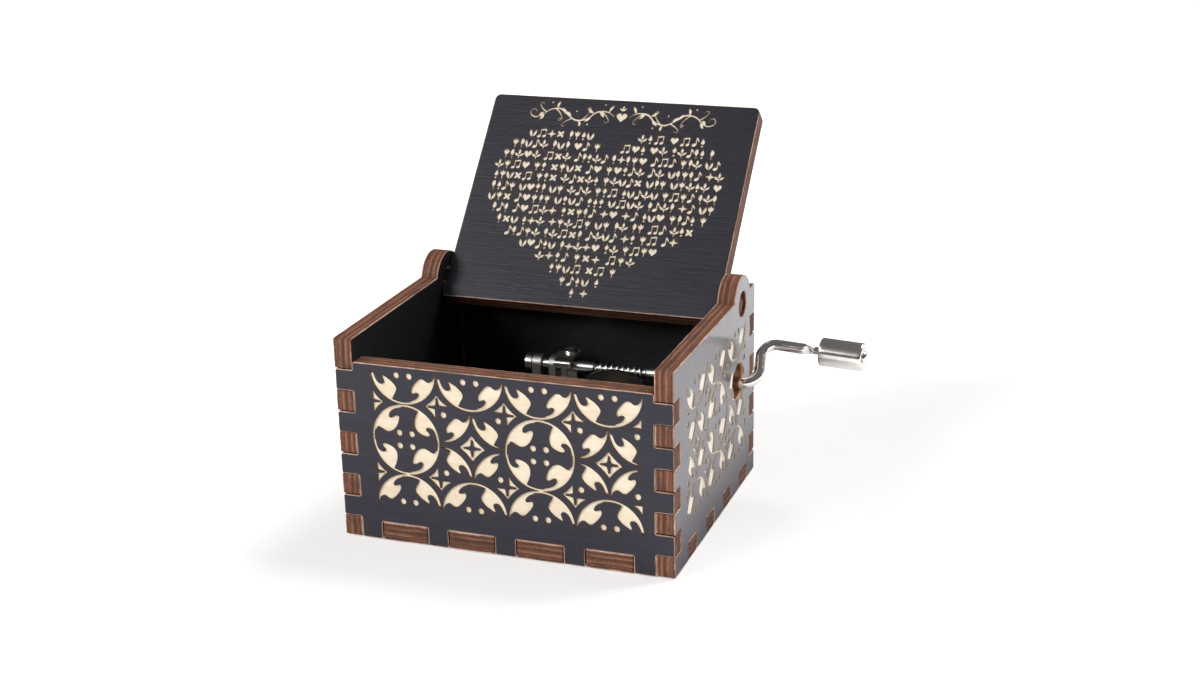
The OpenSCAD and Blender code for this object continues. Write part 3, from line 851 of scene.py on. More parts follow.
# ------------------------------------------------------------------ materials
class Tree:
    """Short names for building a node material."""

    def __init__(self, name):
        self.mat = bpy.data.materials.new(name)
        self.mat.use_nodes = True
        self.nt = self.mat.node_tree
        self.bsdf = self.nt.nodes["Principled BSDF"]

    def node(self, kind, **props):
        n = self.nt.nodes.new(kind)
        for k, v in props.items():
            setattr(n, k, v)
        return n

    def link(self, a, b):
        self.nt.links.new(a, b)

    def attr(self, name):
        return self.node("ShaderNodeAttribute", attribute_name=name)

    def math(self, op, a, b=None, c=None, clamp=False):
        n = self.node("ShaderNodeMath", operation=op, use_clamp=clamp)
        for i, v in enumerate((a, b, c)):
            if v is None:
                continue
            if isinstance(v, (int, float)):
                n.inputs[i].default_value = v
            else:
                self.link(v, n.inputs[i])
        return n.outputs[0]

    def scale(self, vec, s, add=(0, 0, 0)):
        n = self.node("ShaderNodeVectorMath", operation="MULTIPLY_ADD")
        self.link(vec, n.inputs[0])
        n.inputs[1].default_value = s
        n.inputs[2].default_value = add
        return n.outputs[0]

    def noise(self, vec, scale=1.0, detail=4.0, rough=0.55, distortion=0.0):
        n = self.node("ShaderNodeTexNoise")
        n.inputs["Scale"].default_value = scale
        n.inputs["Detail"].default_value = detail
        n.inputs["Roughness"].default_value = rough
        n.inputs["Distortion"].default_value = distortion
        self.link(vec, n.inputs["Vector"])
        return n.outputs[0]

    def voronoi(self, vec, scale=1.0, feature="F1"):
        n = self.node("ShaderNodeTexVoronoi", feature=feature)
        n.inputs["Scale"].default_value = scale
        self.link(vec, n.inputs["Vector"])
        return n.outputs["Distance"]

    def ramp(self, fac, stops, mode="LINEAR"):
        n = self.node("ShaderNodeValToRGB")
        n.color_ramp.interpolation = mode
        el = n.color_ramp.elements
        while len(el) > 1:
            el.remove(el[-1])
        el[0].position = stops[0][0]
        el[0].color = tuple(stops[0][1]) + (1,) if len(stops[0][1]) == 3 else stops[0][1]
        for pos, col in stops[1:]:
            e = el.new(pos)
            e.color = tuple(col) + (1,) if len(col) == 3 else col
        self.link(fac, n.inputs[0])
        return n.outputs[0]

    def step(self, fac, lo, hi, out_lo=0.0, out_hi=1.0):
        n = self.node("ShaderNodeMapRange", interpolation_type="SMOOTHSTEP")
        self.link(fac, n.inputs[0])
        for i, v in enumerate((lo, hi, out_lo, out_hi)):
            n.inputs[i + 1].default_value = v
        return n.outputs[0]

    def mix(self, fac, a, b, blend="MIX"):
        n = self.node("ShaderNodeMix", data_type="RGBA", blend_type=blend)
        if isinstance(fac, (int, float)):
            n.inputs[0].default_value = fac
        else:
            self.link(fac, n.inputs[0])
        for i, v in ((6, a), (7, b)):
            if isinstance(v, tuple):
                n.inputs[i].default_value = v if len(v) == 4 else v + (1,)
            else:
                self.link(v, n.inputs[i])
        return n.outputs[2]

    def bump(self, height, strength, distance, normal=None):
        n = self.node("ShaderNodeBump")
        n.inputs["Strength"].default_value = strength
        n.inputs["Distance"].default_value = distance
        self.link(height, n.inputs["Height"])
        if normal is not None:
            self.link(normal, n.inputs["Normal"])
        return n.outputs[0]

    def out(self, name, value):
        if isinstance(value, (int, float, tuple)):
            self.bsdf.inputs[name].default_value = value
        else:
            self.link(value, self.bsdf.inputs[name])


def paint(name, tint=1.0, rough=0.36, seed=0.0, grain=1.0, coat=0.0, spec=0.5, hue=(1.0, 1.0, 1.0),
          scorch=0.85):
    """Black stain over plywood: the grain shows through as fine streaks along a."""
    t = Tree(name)
    pc = t.attr("pc").outputs["Vector"]
    off = (seed, seed * 0.7, seed * 0.3)
    wide = t.noise(t.scale(pc, (0.10, 2.2, 1.0), off), 1.0, 5, 0.6, 0.6)
    fine = t.noise(t.scale(pc, (0.30, 9.0, 1.0), off), 1.0, 4, 0.65, 0.3)
    spot = t.noise(t.scale(pc, (0.22, 0.22, 0.2), off), 1.0, 3, 0.5)
    dash = t.noise(t.scale(pc, (0.9, 11.0, 1.0), off), 1.0, 2, 0.5)
    pores = t.step(dash, 0.66, 0.78)
    # tint and hue scale the stain's colour. The side panels' copy is lighter and lavender, which is painted sheen; the
    # inner faces' copy is darker, which is painted shade.
    c1 = tuple(v * tint * h for v, h in zip((0.0062, 0.0055, 0.0090), hue))
    c2 = tuple(v * tint * h for v, h in zip((0.0145, 0.0125, 0.0190), hue))
    streak = t.math("ADD", t.math("MULTIPLY", wide, 0.6), t.math("MULTIPLY", fine, 0.4))
    col = t.mix(t.step(streak, 0.35, 0.68), c1, c2)
    col = t.mix(t.math("MULTIPLY", t.step(spot, 0.45, 0.75), 0.35), col, (0.016 * tint, 0.0145 * tint, 0.019 * tint))
    col = t.mix(t.math("MULTIPLY", pores, 0.5 * grain), col, (0.034 * tint, 0.030 * tint, 0.032 * tint))
    burn = t.attr("burn").outputs["Fac"]
    # A scorch below 1 fades the burnt halo. The side panels' copy uses this as painted light.
    col = t.mix(t.math("MULTIPLY", burn, scorch), col, (0.050, 0.026, 0.014))
    rim = t.attr("rim").outputs["Fac"]
    chips = t.noise(t.scale(pc, (1.1, 1.1, 1.1), off), 1.0, 4, 0.6)
    wear = t.math("MULTIPLY", t.step(rim, 0.55, 1.0), t.step(chips, 0.46, 0.62))
    col = t.mix(t.math("MULTIPLY", wear, 0.75), col, (0.22, 0.115, 0.065))
    t.out("Base Color", col)
    r = t.math("ADD", rough - 0.08, t.math("MULTIPLY", fine, 0.14))
    r = t.math("ADD", r, t.math("MULTIPLY", spot, 0.08))
    r = t.math("ADD", r, t.math("MULTIPLY", burn, 0.25))
    t.out("Roughness", r)
    h = t.math("ADD", t.math("MULTIPLY", wide, 0.8), t.math("MULTIPLY", fine, 0.5))
    h = t.math("SUBTRACT", h, t.math("MULTIPLY", pores, 0.5))
    t.out("Normal", t.bump(h, 0.55 * grain, 0.00006))
    t.out("Coat Weight", coat)
    t.out("Coat Roughness", 0.22)
    t.out("Specular IOR Level", spec)
    return t.mat


def engraved(name, seed=0.0, burn_amount=1.0, pale=0.0, coat=0.0):
    """Bare wood at the bottom of the engraving, scorched along its edges."""
    t = Tree(name)
    pc = t.attr("pc").outputs["Vector"]
    off = (seed, seed * 0.7, 0.0)
    wide = t.noise(t.scale(pc, (0.10, 0.9, 1.0), off), 1.0, 4, 0.6, 0.4)
    fine = t.noise(t.scale(pc, (0.5, 7.0, 1.0), off), 1.0, 4, 0.6)
    blot = t.noise(t.scale(pc, (0.12, 0.12, 0.1), off), 1.0, 2, 0.5)
    col = t.mix(t.step(wide, 0.35, 0.7), (0.86, 0.76, 0.60), (0.80, 0.66, 0.47))
    col = t.mix(t.math("MULTIPLY", t.step(fine, 0.5, 0.8), 0.45), col, (0.66, 0.50, 0.33))
    col = t.mix(t.math("MULTIPLY", t.step(blot, 0.5, 0.75), 0.35), col, (0.84, 0.68, 0.54))
    burn = t.attr("burn").outputs["Fac"]
    ragged = t.noise(t.scale(pc, (3.0, 3.0, 1.0), off), 1.0, 3, 0.6)
    edge = t.math("MULTIPLY", burn, t.math("ADD", 0.55, t.math("MULTIPLY", ragged, 0.9)), clamp=True)
    # pale lifts the bare wood toward near-white: painted light, used for the paler copies on the side panels and the
    # lid.
    col = t.mix(pale, col, (0.97, 0.93, 0.85))
    # A burn_amount below 1 fades the scorched edge. The side and lid copies use this as painted light.
    col = t.mix(t.math("MULTIPLY", t.step(edge, 0.25, 0.95), burn_amount), col, (0.20, 0.095, 0.042))
    t.out("Base Color", col)
    t.out("Coat Weight", coat)
    t.out("Coat Roughness", 0.4)
    t.out("Roughness", t.math("ADD", 0.66, t.math("MULTIPLY", fine, 0.2)))
    lines = t.node("ShaderNodeTexWave", wave_type="BANDS", bands_direction="Y")
    lines.inputs["Scale"].default_value = 2.6
    lines.inputs["Distortion"].default_value = 0.4
    t.link(pc, lines.inputs["Vector"])
    h = t.math("ADD", t.math("MULTIPLY", lines.outputs["Fac"], 0.35), fine)
    t.out("Normal", t.bump(h, 0.6, 0.00004))
    t.out("Specular IOR Level", 0.3)
    return t.mat


def scorched(name, light=0.0):
    t = Tree(name)
    pc = t.attr("pc").outputs["Vector"]
    n = t.noise(t.scale(pc, (1.6, 1.6, 3.0)), 1.0, 4, 0.6)
    d = t.node("ShaderNodeSeparateXYZ")
    t.link(pc, d.inputs[0])
    col = t.mix(t.step(n, 0.35, 0.7), (0.075, 0.036, 0.018), (0.20, 0.105, 0.055))
    # light blends toward pale brown: a lit, paler copy of the scorch colour (painted light) for the side panels and the
    # lid.
    col = t.mix(light, col, (0.50, 0.38, 0.27))
    t.out("Base Color", col)
    t.out("Roughness", t.math("ADD", 0.6, t.math("MULTIPLY", n, 0.25)))
    t.out("Normal", t.bump(n, 0.5, 0.00004))
    return t.mat


def ply_edge(name, seed=0.0, warm=1.0, light=1.0):
    """Laser-cut plywood edge: layers by depth, burnt, with tan lips at both faces."""
    t = Tree(name)
    ev = t.attr("ev").outputs["Vector"]
    off = (seed * 3.1, seed, seed * 0.5)
    sep = t.node("ShaderNodeSeparateXYZ")
    t.link(ev, sep.inputs[0])
    u, d = sep.outputs[0], sep.outputs[1]
    warp = t.noise(t.scale(ev, (0.35, 0.3, 1.0), off), 1.0, 3, 0.5)
    fwarp = t.noise(t.scale(ev, (2.2, 0.6, 1.0), off), 1.0, 3, 0.6)
    dd = t.math("ADD", d, t.math("MULTIPLY", t.math("SUBTRACT", warp, 0.5), 0.34))
    dd = t.math("ADD", dd, t.math("MULTIPLY", t.math("SUBTRACT", fwarp, 0.5), 0.12))
    k = t.math("DIVIDE", dd, PLY)
    # light scales every edge colour up: painted light and sheen on the ply edges.
    L = light

    def c(r, g, b):
        return (r * L * warm, g * L, b * L)
    dark, mid, lite, tan = c(0.054, 0.020, 0.011), c(0.165, 0.066, 0.035), c(0.265, 0.122, 0.070), c(0.68, 0.49, 0.36)
    layer = t.ramp(k, [(0.0, tan), (0.022, tan), (0.055, lite), (0.085, mid), (0.12, dark), (0.17, mid), (0.26, mid),
                       (0.30, dark), (0.335, lite), (0.40, lite), (0.45, mid), (0.60, dark), (0.64, mid),
                       (0.70, lite), (0.78, mid), (0.86, dark), (0.90, mid), (0.945, lite), (0.978, tan), (1.0, tan)])
    streak = t.noise(t.scale(ev, (0.28, 8.5, 1.0), off), 1.0, 5, 0.65)
    pits = t.noise(t.scale(ev, (4.5, 3.0, 1.0), off), 1.0, 4, 0.65)
    soot = t.noise(t.scale(ev, (0.20, 0.5, 1.0), off), 1.0, 3, 0.55)
    col = t.mix(t.math("MULTIPLY", t.step(streak, 0.42, 0.72), 0.55), layer, dark)
    col = t.mix(t.math("MULTIPLY", t.step(pits, 0.52, 0.70), 0.7), col, c(0.035, 0.014, 0.008))
    col = t.mix(t.math("MULTIPLY", t.step(pits, 0.30, 0.45, 1.0, 0.0), 0.5), col, lite)
    col = t.mix(t.math("MULTIPLY", t.step(soot, 0.46, 0.66), 0.6), col, c(0.050, 0.020, 0.011))
    hole = t.step(sep.outputs[2], 1.5, 1.6)
    fresh = t.mix(t.step(pits, 0.3, 0.7), (0.27, 0.095, 0.035), (0.10, 0.034, 0.013))
    fresh = t.mix(t.step(d, 0.35, 0.6, 1.0, 0.0), fresh, (0.70, 0.46, 0.26))
    col = t.mix(t.math("MULTIPLY", hole, 0.8), col, fresh)
    t.out("Base Color", col)
    t.out("Roughness", t.math("ADD", 0.52, t.math("MULTIPLY", pits, 0.3)))
    h = t.math("ADD", t.math("MULTIPLY", streak, 0.6), t.math("MULTIPLY", pits, 0.8))
    t.out("Normal", t.bump(h, 0.7, 0.00009))
    t.out("Specular IOR Level", 0.35)
    return t.mat


def metal(name, base, rough, scratch=0.0, brushed=None, mottled=0.0, spec=None, aniso=0.0):
    """Metal with fine marks. Coordinates are the object's own, in metres."""
    t = Tree(name)
    tc = t.node("ShaderNodeTexCoord")
    o = tc.outputs["Object"]
    n1 = t.noise(o, 900, 4, 0.6)
    n2 = t.noise(o, 180, 3, 0.5)
    stretch = brushed or (400, 400, 9000)
    s = t.noise(t.scale(o, stretch), 1.0, 4, 0.65)
    lo = tuple(c * (0.86 - mottled) for c in base)
    col = t.mix(t.step(n2, 0.3, 0.75), base, lo)
    if mottled:
        col = t.mix(t.math("MULTIPLY", t.step(n1, 0.5, 0.72), mottled * 2), col, tuple(c * 0.55 for c in base))
    t.out("Base Color", col)
    t.out("Metallic", 1.0)
    r = t.math("ADD", rough * 0.8, t.math("MULTIPLY", n1, rough * 0.45))
    r = t.math("ADD", r, t.math("MULTIPLY", s, scratch * 0.25))
    t.out("Roughness", r)
    h = t.math("ADD", t.math("MULTIPLY", s, 0.8 * scratch + 0.05), t.math("MULTIPLY", n1, 0.25))
    t.out("Normal", t.bump(h, 0.25 + 0.5 * scratch, 0.00002))
    if aniso:
        t.out("Anisotropic", aniso)
    return t.mat


def plastic(name, base, rough=0.35):
    t = Tree(name)
    o = t.node("ShaderNodeTexCoord").outputs["Object"]
    n1, n2 = t.noise(o, 1500, 3, 0.6), t.noise(o, 220, 3, 0.5)
    col = t.mix(t.step(n2, 0.35, 0.7), base, tuple(c * 1.5 for c in base))
    t.out("Base Color", col)
    t.out("Specular IOR Level", 0.35)
    t.out("Roughness", t.math("ADD", rough, t.math("MULTIPLY", n1, 0.15)))
    t.out("Normal", t.bump(n1, 0.25, 0.00002))
    return t.mat


# The last argument brightens each edge copy, more for the side panels' edges: painted light.
EDGE = ply_edge("ply_edge_a", 1.0, 1.04, 1.06)
EDGE2 = ply_edge("ply_edge_b", 5.3, 1.07, 1.1)
BURNT = scorched("scorched_wood")
# A paler copy of the scorched colour for the side panels: painted light.
BURNT_SIDE_PAINTED_LIT = scorched("scorched_wood_side_painted_lit", 0.9)
# A slightly paler copy of the scorched colour for the lid: painted light.
BURNT_LID_PAINTED_LIT = scorched("scorched_wood_lid_painted_lit", 0.3)
MATS = {
    "front": [paint("paint_front", 1.0, 0.38, 2.0, 1.0, 0.0, 0.5, (0.95, 0.85, 1.45)), EDGE, engraved("engraved_front", 1.0), BURNT,
              # A darker, more matte copy of the stain for the inner faces: the darkening is painted shade of the box's
              # interior.
              paint("paint_inside_a_painted_shade", 0.7, 0.5, 3.0, 1.0, 0.0, 0.4), engraved("engraved_b", 9.0)],
    # Side panels: a lighter, lavender-tinted copy of the stain with weaker scorch halos (painted sheen over the real
    # stain), and paler copies of the engraving and its scorched walls (painted light).
    "right": [paint("paint_right_painted_sheen", 1.3, 0.32, 7.0, 1.0, 1.0, 0.5, (1.7, 0.8, 1.9), 0.3), EDGE2, engraved("engraved_right_painted_lit", 4.0, 0.4, 0.7, 0.5), BURNT_SIDE_PAINTED_LIT,
              # Inner faces: a darker copy of the stain, painted shade.
              paint("paint_inside_b_painted_shade", 0.7, 0.5, 5.0, 1.0, 0.0, 0.4), engraved("engraved_c", 9.0)],
    # Lid: paler copies of the engraving floor, with weaker scorched edges, and of its scorched walls: painted light.
    "lid": [paint("paint_lid_inner", 0.9, 0.40, 12.0, 2.0, 0.0, 0.5, (0.95, 0.88, 1.3)), EDGE, engraved("engraved_lid", 6.0, 0.4, 0.25), BURNT_LID_PAINTED_LIT,
            paint("paint_lid_outer", 1.0, 0.38, 15.0), engraved("engraved_lid_outer", 8.0)],
}


# ------------------------------------------------------------------ the case
FRONT_ORN = ornament(-18.65, ["ring", "star", "ring", "star"])
SIDE_ORN = ornament(-12.6, ["star", "ring", "star"])

panel("front_panel_wood", end_outline(34.4), [], lambda a, b, d: (a * MM, (-26 + d) * MM, b * MM),
      "case", MATS["front"], top=FRONT_ORN, seed=11, node="front_panel")
panel("back_panel_wood", end_outline(39.9), [], lambda a, b, d: (-a * MM, (26 - d) * MM, b * MM),
      "case", MATS["front"], top=FRONT_ORN, seed=12, node="back_panel")
panel("right_panel_wood", side_outline(False), [(17.3, 37.0, 2.5, 40), (14.6, 22.5, 3.5, 56)],
      lambda a, b, d: ((32 - d) * MM, a * MM, b * MM),
      "case", MATS["right"], top=SIDE_ORN, seed=13, node="right_panel")
panel("left_panel_wood", side_outline(True), [(-17.3, 37.0, 2.5, 40)],
      lambda a, b, d: ((-32 + d) * MM, -a * MM, b * MM),
      "case", MATS["right"], top=SIDE_ORN, seed=14, node="left_panel")
panel("bottom_panel_wood", floor_outline(),
      [(x, -y, 2.3, 32) for x in (-14.6, 17.6) for y in (-8.2, 18.6)],
      lambda a, b, d: (a * MM, -b * MM, d * MM),
      "case", MATS["front"], seed=15, node="bottom_panel",
      hole_profile=lambda d: max(1.15, 2.3 - 1.15 * d / 1.41))

LEAN = math.radians(42.8)
LD = Vector((0, math.sin(LEAN), math.cos(LEAN)))
LN = Vector((0, -math.cos(LEAN), math.sin(LEAN)))
P0 = Vector((0, 17.3, 37.0))


def lid_map(a, b, d):
    p = P0 + Vector((a, 0, 0)) + LD * b + LN * (PLY / 2 - d)
    return (p.x * MM, p.y * MM, p.z * MM)


panel("lid_wood", lid_outline(), [], lid_map, "lid", MATS["lid"],
      top=heart_field() + flourish(),
      back=mirrored(ornament(-19.35, ["ring", "star", "ring", "star"], -1.9)),
      cut=0.14, cut_back=0.22, seed=16, node="lid",
      special=[((28.1, 41.6), 1.1), ((-28.1, 41.6), 1.1)])


# ------------------------------------------------------------------ turned and bent metal
def mesh_object(name, verts, faces, mat, body, nodes, sharp=35):
    mesh = bpy.data.meshes.new(name)
    mesh.from_pydata([(x * MM, y * MM, z * MM) for x, y, z in verts], [], faces)
    mesh.materials.append(mat)
    mesh.polygons.foreach_set("use_smooth", [True] * len(faces))
    mesh.update()
    mesh.set_sharp_from_angle(angle=math.radians(sharp))
    obj = bpy.data.objects.new(name, mesh)
    COL.objects.link(obj)
    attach(obj, body)
    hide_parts(*nodes)
    return obj


def lathe_x(profile, cy, cz, n=96, wobble=None):
    """Revolves (x, r) points about an axis along X. A zero radius at an end closes it."""
    verts, faces, rows = [], [], []
    for x, r in profile:
        if r < 1e-6:
            verts.append((x, cy, cz))
            rows.append([len(verts) - 1])
            continue
        row = []
        for j in range(n):
            a = 2 * PI * j / n
            rr = r + (wobble(x, a) if wobble else 0)
            verts.append((x, cy + rr * math.cos(a), cz + rr * math.sin(a)))
            row.append(len(verts) - 1)
        rows.append(row)
    for p, q in zip(rows, rows[1:]):
        for j in range(n):
            k = (j + 1) % n
            if len(p) == 1 and len(q) == 1:
                continue
            if len(p) == 1:
                faces.append([p[0], q[k], q[j]])
            elif len(q) == 1:
                faces.append([p[j], p[k], q[0]])
            else:
                faces.append([p[j], p[k], q[k], q[j]])
    return verts, faces


NICKEL = metal("nickel_polished", (0.83, 0.80, 0.76), 0.10, 0.25, (300, 2500, 2500))
NICKEL_TURNED = metal("nickel_turned", (0.84, 0.81, 0.77), 0.13, 0.5, (9000, 300, 300))
STEEL = metal("shaft_steel_ground", (0.70, 0.69, 0.67), 0.22, 0.6, (6000, 500, 500))
COMB = metal("comb_ground", (0.66, 0.66, 0.66), 0.28, 0.9, (250, 7000, 1000))
CAST = metal("cast_bed_satin", (0.46, 0.45, 0.44), 0.40, 0.2, (800, 800, 800), 0.06)
BRASS = metal("brass_drum", (0.80, 0.60, 0.28), 0.24, 0.5, (300, 6000, 300))
PINS = metal("pin_steel_bright", (0.72, 0.71, 0.68), 0.2, 0.2)
LEAD = metal("lead_dull", (0.30, 0.30, 0.32), 0.5, 0.3, None, 0.1)
SCREW = metal("screw_steel_bright", (0.74, 0.73, 0.71), 0.2, 0.12, (2500, 300, 300))
SHEET = metal("nickel_sheet", (0.76, 0.75, 0.72), 0.24, 0.4, (300, 5000, 900))
BLACK = plastic("black_plastic", (0.005, 0.005, 0.0055))

CY, CZ = 14.6, 22.2
ARM_X, REACH, BEND, ROD = 35.8, 9.45, 2.6, 1.05
ANG, LEAN_BACK, TILT = math.radians(37.5), math.radians(6.8), math.radians(3.3)
AU = Vector((0, math.cos(ANG), math.sin(ANG)))      # away from the shaft, in the crank's plane
AW = Vector((0, -math.sin(ANG), math.cos(ANG)))     # square to that plane
AX = Vector((1, 0, 0))
ARM_DIR = AU * math.cos(LEAN_BACK) - AX * math.sin(LEAN_BACK)
GRIP_DIR = AX * math.cos(TILT) - AU * math.sin(TILT)
CORNER_A = Vector((ARM_X, CY, CZ))
CORNER_B = CORNER_A + ARM_DIR * REACH
ROD_S, K0, KLEN = 8.9, 11.6, 8.3
KR = 2.7
TURN_A = PI / 2 + LEAN_BACK
TURN_B = PI / 2 + LEAN_BACK + TILT


def crank_mesh():
    """One bent rod: stations of (centre, tangent, half-width in the crank's plane, half-width across)."""
    st = []

    def line(p, d, s0, s1, ru, rw, n):
        for i in range(n):
            st.append((p + d * (s0 + (s1 - s0) * i / max(1, n - 1)), d.copy(), ru, rw))

    def bend(corner, d0, d1, turn, n=30):
        t = BEND * math.tan(turn / 2)
        inward = (d1 - d0 * d0.dot(d1)).normalized()
        c = corner - d0 * t + inward * BEND
        for i in range(n + 1):
            a = turn * i / n
            squeeze = 0.05 * math.sin(PI * i / n)
            p = c + (d0 * math.sin(a) - inward * math.cos(a)) * BEND
            st.append((p, d0 * math.cos(a) + inward * math.sin(a), ROD - squeeze, ROD + squeeze * 0.6))
        return t
    shaft = Vector((0, CY, CZ))
    line(shaft, AX, 21.25, 25.3, 0.88, 0.88, 2)
    line(shaft, AX, 25.36, 25.36, 0.97, 0.97, 1)
    ta = BEND * math.tan(TURN_A / 2)
    line(shaft, AX, 25.5, ARM_X - ta - 0.05, ROD, ROD, 6)
    bend(CORNER_A, AX, ARM_DIR, TURN_A)
    tb = BEND * math.tan(TURN_B / 2)
    for i in range(1, 5):
        st.append((CORNER_A + ARM_DIR * (ta + (REACH - ta - tb) * i / 5), ARM_DIR.copy(), ROD, ROD))
    bend(CORNER_B, ARM_DIR, GRIP_DIR, TURN_B)
    for s, ru, rw in ((tb + 0.5, ROD, ROD), (5.6, ROD, ROD), (7.2, ROD, ROD), (8.15, ROD, ROD),
                      (8.4, 1.0, 1.06), (8.65, 0.86, 1.12), (8.9, 0.62, 1.17), (9.2, 0.46, 1.2),
                      (9.5, 0.42, 1.2), (9.8, 0.46, 1.17), (10.0, 0.56, 1.05), (10.15, 0.66, 0.88),
                      (10.3, 0.72, 0.76), (10.45, 0.74, 0.74), (K0 + KLEN + 0.15, 0.74, 0.74)):
        st.append((CORNER_B + GRIP_DIR * s, GRIP_DIR.copy(), ru, rw))
    n = 48
    verts, faces = [], []
    for c, tan, ru, rw in st:
        side = AW.cross(tan).normalized()
        for j in range(n):
            a = 2 * PI * j / n
            p = c + side * (ru * math.cos(a)) + AW * (rw * math.sin(a))
            verts.append(tuple(p))
    for i in range(len(st) - 1):
        for j in range(n):
            k = (j + 1) % n
            faces.append([i * n + j, (i + 1) * n + j, (i + 1) * n + k, i * n + k])
    faces.append(list(range(n)))
    faces.append(list(range((len(st) - 1) * n, len(st) * n))[::-1])
    return verts, faces


def on_grip(verts):
    """Takes points turned about the X axis to the grip's axis, with x measured from its corner."""
    side = AW.cross(GRIP_DIR).normalized()
    return [tuple(CORNER_B + GRIP_DIR * x + side * y + AW * z) for x, y, z in verts]


def fix_normals(obj):
    import bmesh
    bm = bmesh.new()
    bm.from_mesh(obj.data)
    bmesh.ops.recalc_face_normals(bm, faces=bm.faces)
    bm.to_mesh(obj.data)
    bm.free()
    obj.data.set_sharp_from_angle(angle=math.radians(35))


v, f = crank_mesh()
arm = mesh_object("crank_arm_rod", v, f, NICKEL, "crank", ["crank_arm"])
fix_normals(arm)

K1 = K0 + KLEN
prof = [(K0 + 0.55, 0.82), (K0 + 0.12, 0.84), (K0 + 0.02, 0.98), (K0, 1.05), (K0, 2.2), (K0 + 0.03, 2.46),
        (K0 + 0.09, 2.58), (K0 + 0.17, 2.65), (K0 + 0.28, 2.69), (K0 + 0.42, KR)]
prof += [(K0 + 0.42 + (KLEN - 0.84) * i / 10, KR) for i in range(1, 10)]
prof += [(K1 - 0.42, KR), (K1 - 0.28, 2.69), (K1 - 0.17, 2.65), (K1 - 0.09, 2.58), (K1 - 0.03, 2.46), (K1, 2.36),
         (K1, 1.85), (K1 - 0.03, 1.68), (K1 - 0.12, 1.56), (K1 - 0.14, 1.3), (K1 - 0.14, 0.84), (K1 - 0.6, 0.82)]
v, f = lathe_x(prof, 0, 0, 128)
knob = mesh_object("crank_knob_turned", on_grip(v), f, NICKEL_TURNED, "knob", ["crank_knob"])
fix_normals(knob)

prof = [(K1 - 0.04, 0.0), (K1 - 0.04, 0.74), (K1, 1.08), (K1 + 0.08, 1.15), (K1 + 0.22, 1.14), (K1 + 0.36, 1.04),
        (K1 + 0.5, 0.86), (K1 + 0.6, 0.66), (K1 + 0.64, 0.5), (K1 + 0.62, 0.36), (K1 + 0.54, 0.26), (K1 + 0.5, 0.0)]
v, f = lathe_x(prof, 0, 0, 64)
rivet = mesh_object("knob_rivet_peened", on_grip(v), f, NICKEL, "crank", ["knob_rivet"])
fix_normals(rivet)


def worm_mesh():
    x0, x1, pitch = 3.2, 13.55, 1.15
    rt, rr = 1.33, 0.79
    prof_in = [(-11.2, 0.0), (-11.2, 0.9), (-11.05, 1.05), (x0 - 0.3, 1.05)]
    prof_out = [(x1 + 0.3, 1.05), (20.0, 1.05), (20.1, 1.12), (20.1, 1.85), (20.25, 2.0), (21.4, 2.0), (21.5, 1.93),
                (21.6, 2.0), (25.25, 2.0), (25.4, 1.85), (25.4, 1.06), (25.2, 0.98), (21.3, 0.95), (21.2, 0.0)]
    n = 72
    verts, faces, rows = [], [], []

    def ring(x, fn):
        row = []
        for j in range(n):
            a = 2 * PI * j / n
            r = fn(x, a)
            verts.append((x, CY + r * math.cos(a), CZ + r * math.sin(a)))
            row.append(len(verts) - 1)
        rows.append(row)

    def thread(x, a):
        u = (x - 7.8) / pitch - (math.degrees(a) + 90) / 360
        g = abs(u - round(u))
        s = min(1, max(0, (g - 0.26) / 0.17))
        s = s * s * (3 - 2 * s)
        e = max(0, min(1, (x - x0) / 0.5, (x1 - x) / 0.5))
        return rr + (rt - rr) * s * e
    for x, r in prof_in:
        if r > 0:
            ring(x, lambda x, a, r=r: r)
    ring(x0, lambda x, a: rr)
    steps = int((x1 - x0) / pitch * 20)
    for i in range(1, steps):
        ring(x0 + (x1 - x0) * i / steps, thread)
    ring(x1, lambda x, a: rr)
    for x, r in prof_out:
        if r > 0:
            ring(x, lambda x, a, r=r: r)
    for p, q in zip(rows, rows[1:]):
        for j in range(n):
            k = (j + 1) % n
            faces.append([p[j], p[k], q[k], q[j]])
    faces.append(rows[0][::-1])
    faces.append(rows[-1])
    return verts, faces


v, f = worm_mesh()
worm = mesh_object("worm_shaft_cut", v, f, STEEL, "crank", ["worm_shaft"])
fix_normals(worm)


# ------------------------------------------------------------------ CAD nodes that stay
def soften(node, mat, width=0.08, angle=30, segments=2):
    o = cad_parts[node]
    me = o.data
    if "custom_normal" in me.attributes:
        me.attributes.remove(me.attributes["custom_normal"])
    me.materials.clear()
    me.materials.append(mat)
    me.polygons.foreach_set("use_smooth", [True] * len(me.polygons))
    w = o.modifiers.new("weld", "WELD")
    w.merge_threshold = 2e-6
    b = o.modifiers.new("bevel", "BEVEL")
    b.width = width * MM
    b.segments = segments
    b.limit_method = "ANGLE"
    b.angle_limit = math.radians(angle)
    b.use_clamp_overlap = True
    b.harden_normals = True
    return o


soften("bedplate", CAST, 0.18)
soften("comb", COMB, 0.04)
soften("comb_weights", LEAD, 0.08)
soften("comb_screws", SCREW, 0.06)
soften("drum", BRASS, 0.05)
soften("drum_pins", PINS, 0.03)
soften("drum_end_cap", BLACK, 0.06)
soften("drum_gear", BLACK, 0.05)
soften("drum_arbor", STEEL, 0.12)
soften("arbor_bracket", SHEET, 0.10)
soften("arbor_bracket_screw", SCREW, 0.06)
soften("bearing_cap", SHEET, 0.10)
soften("bearing_cap_screw", SCREW, 0.06)
soften("shaft_collar", STEEL, 0.10)
soften("movement_screws", SCREW, 0.06)


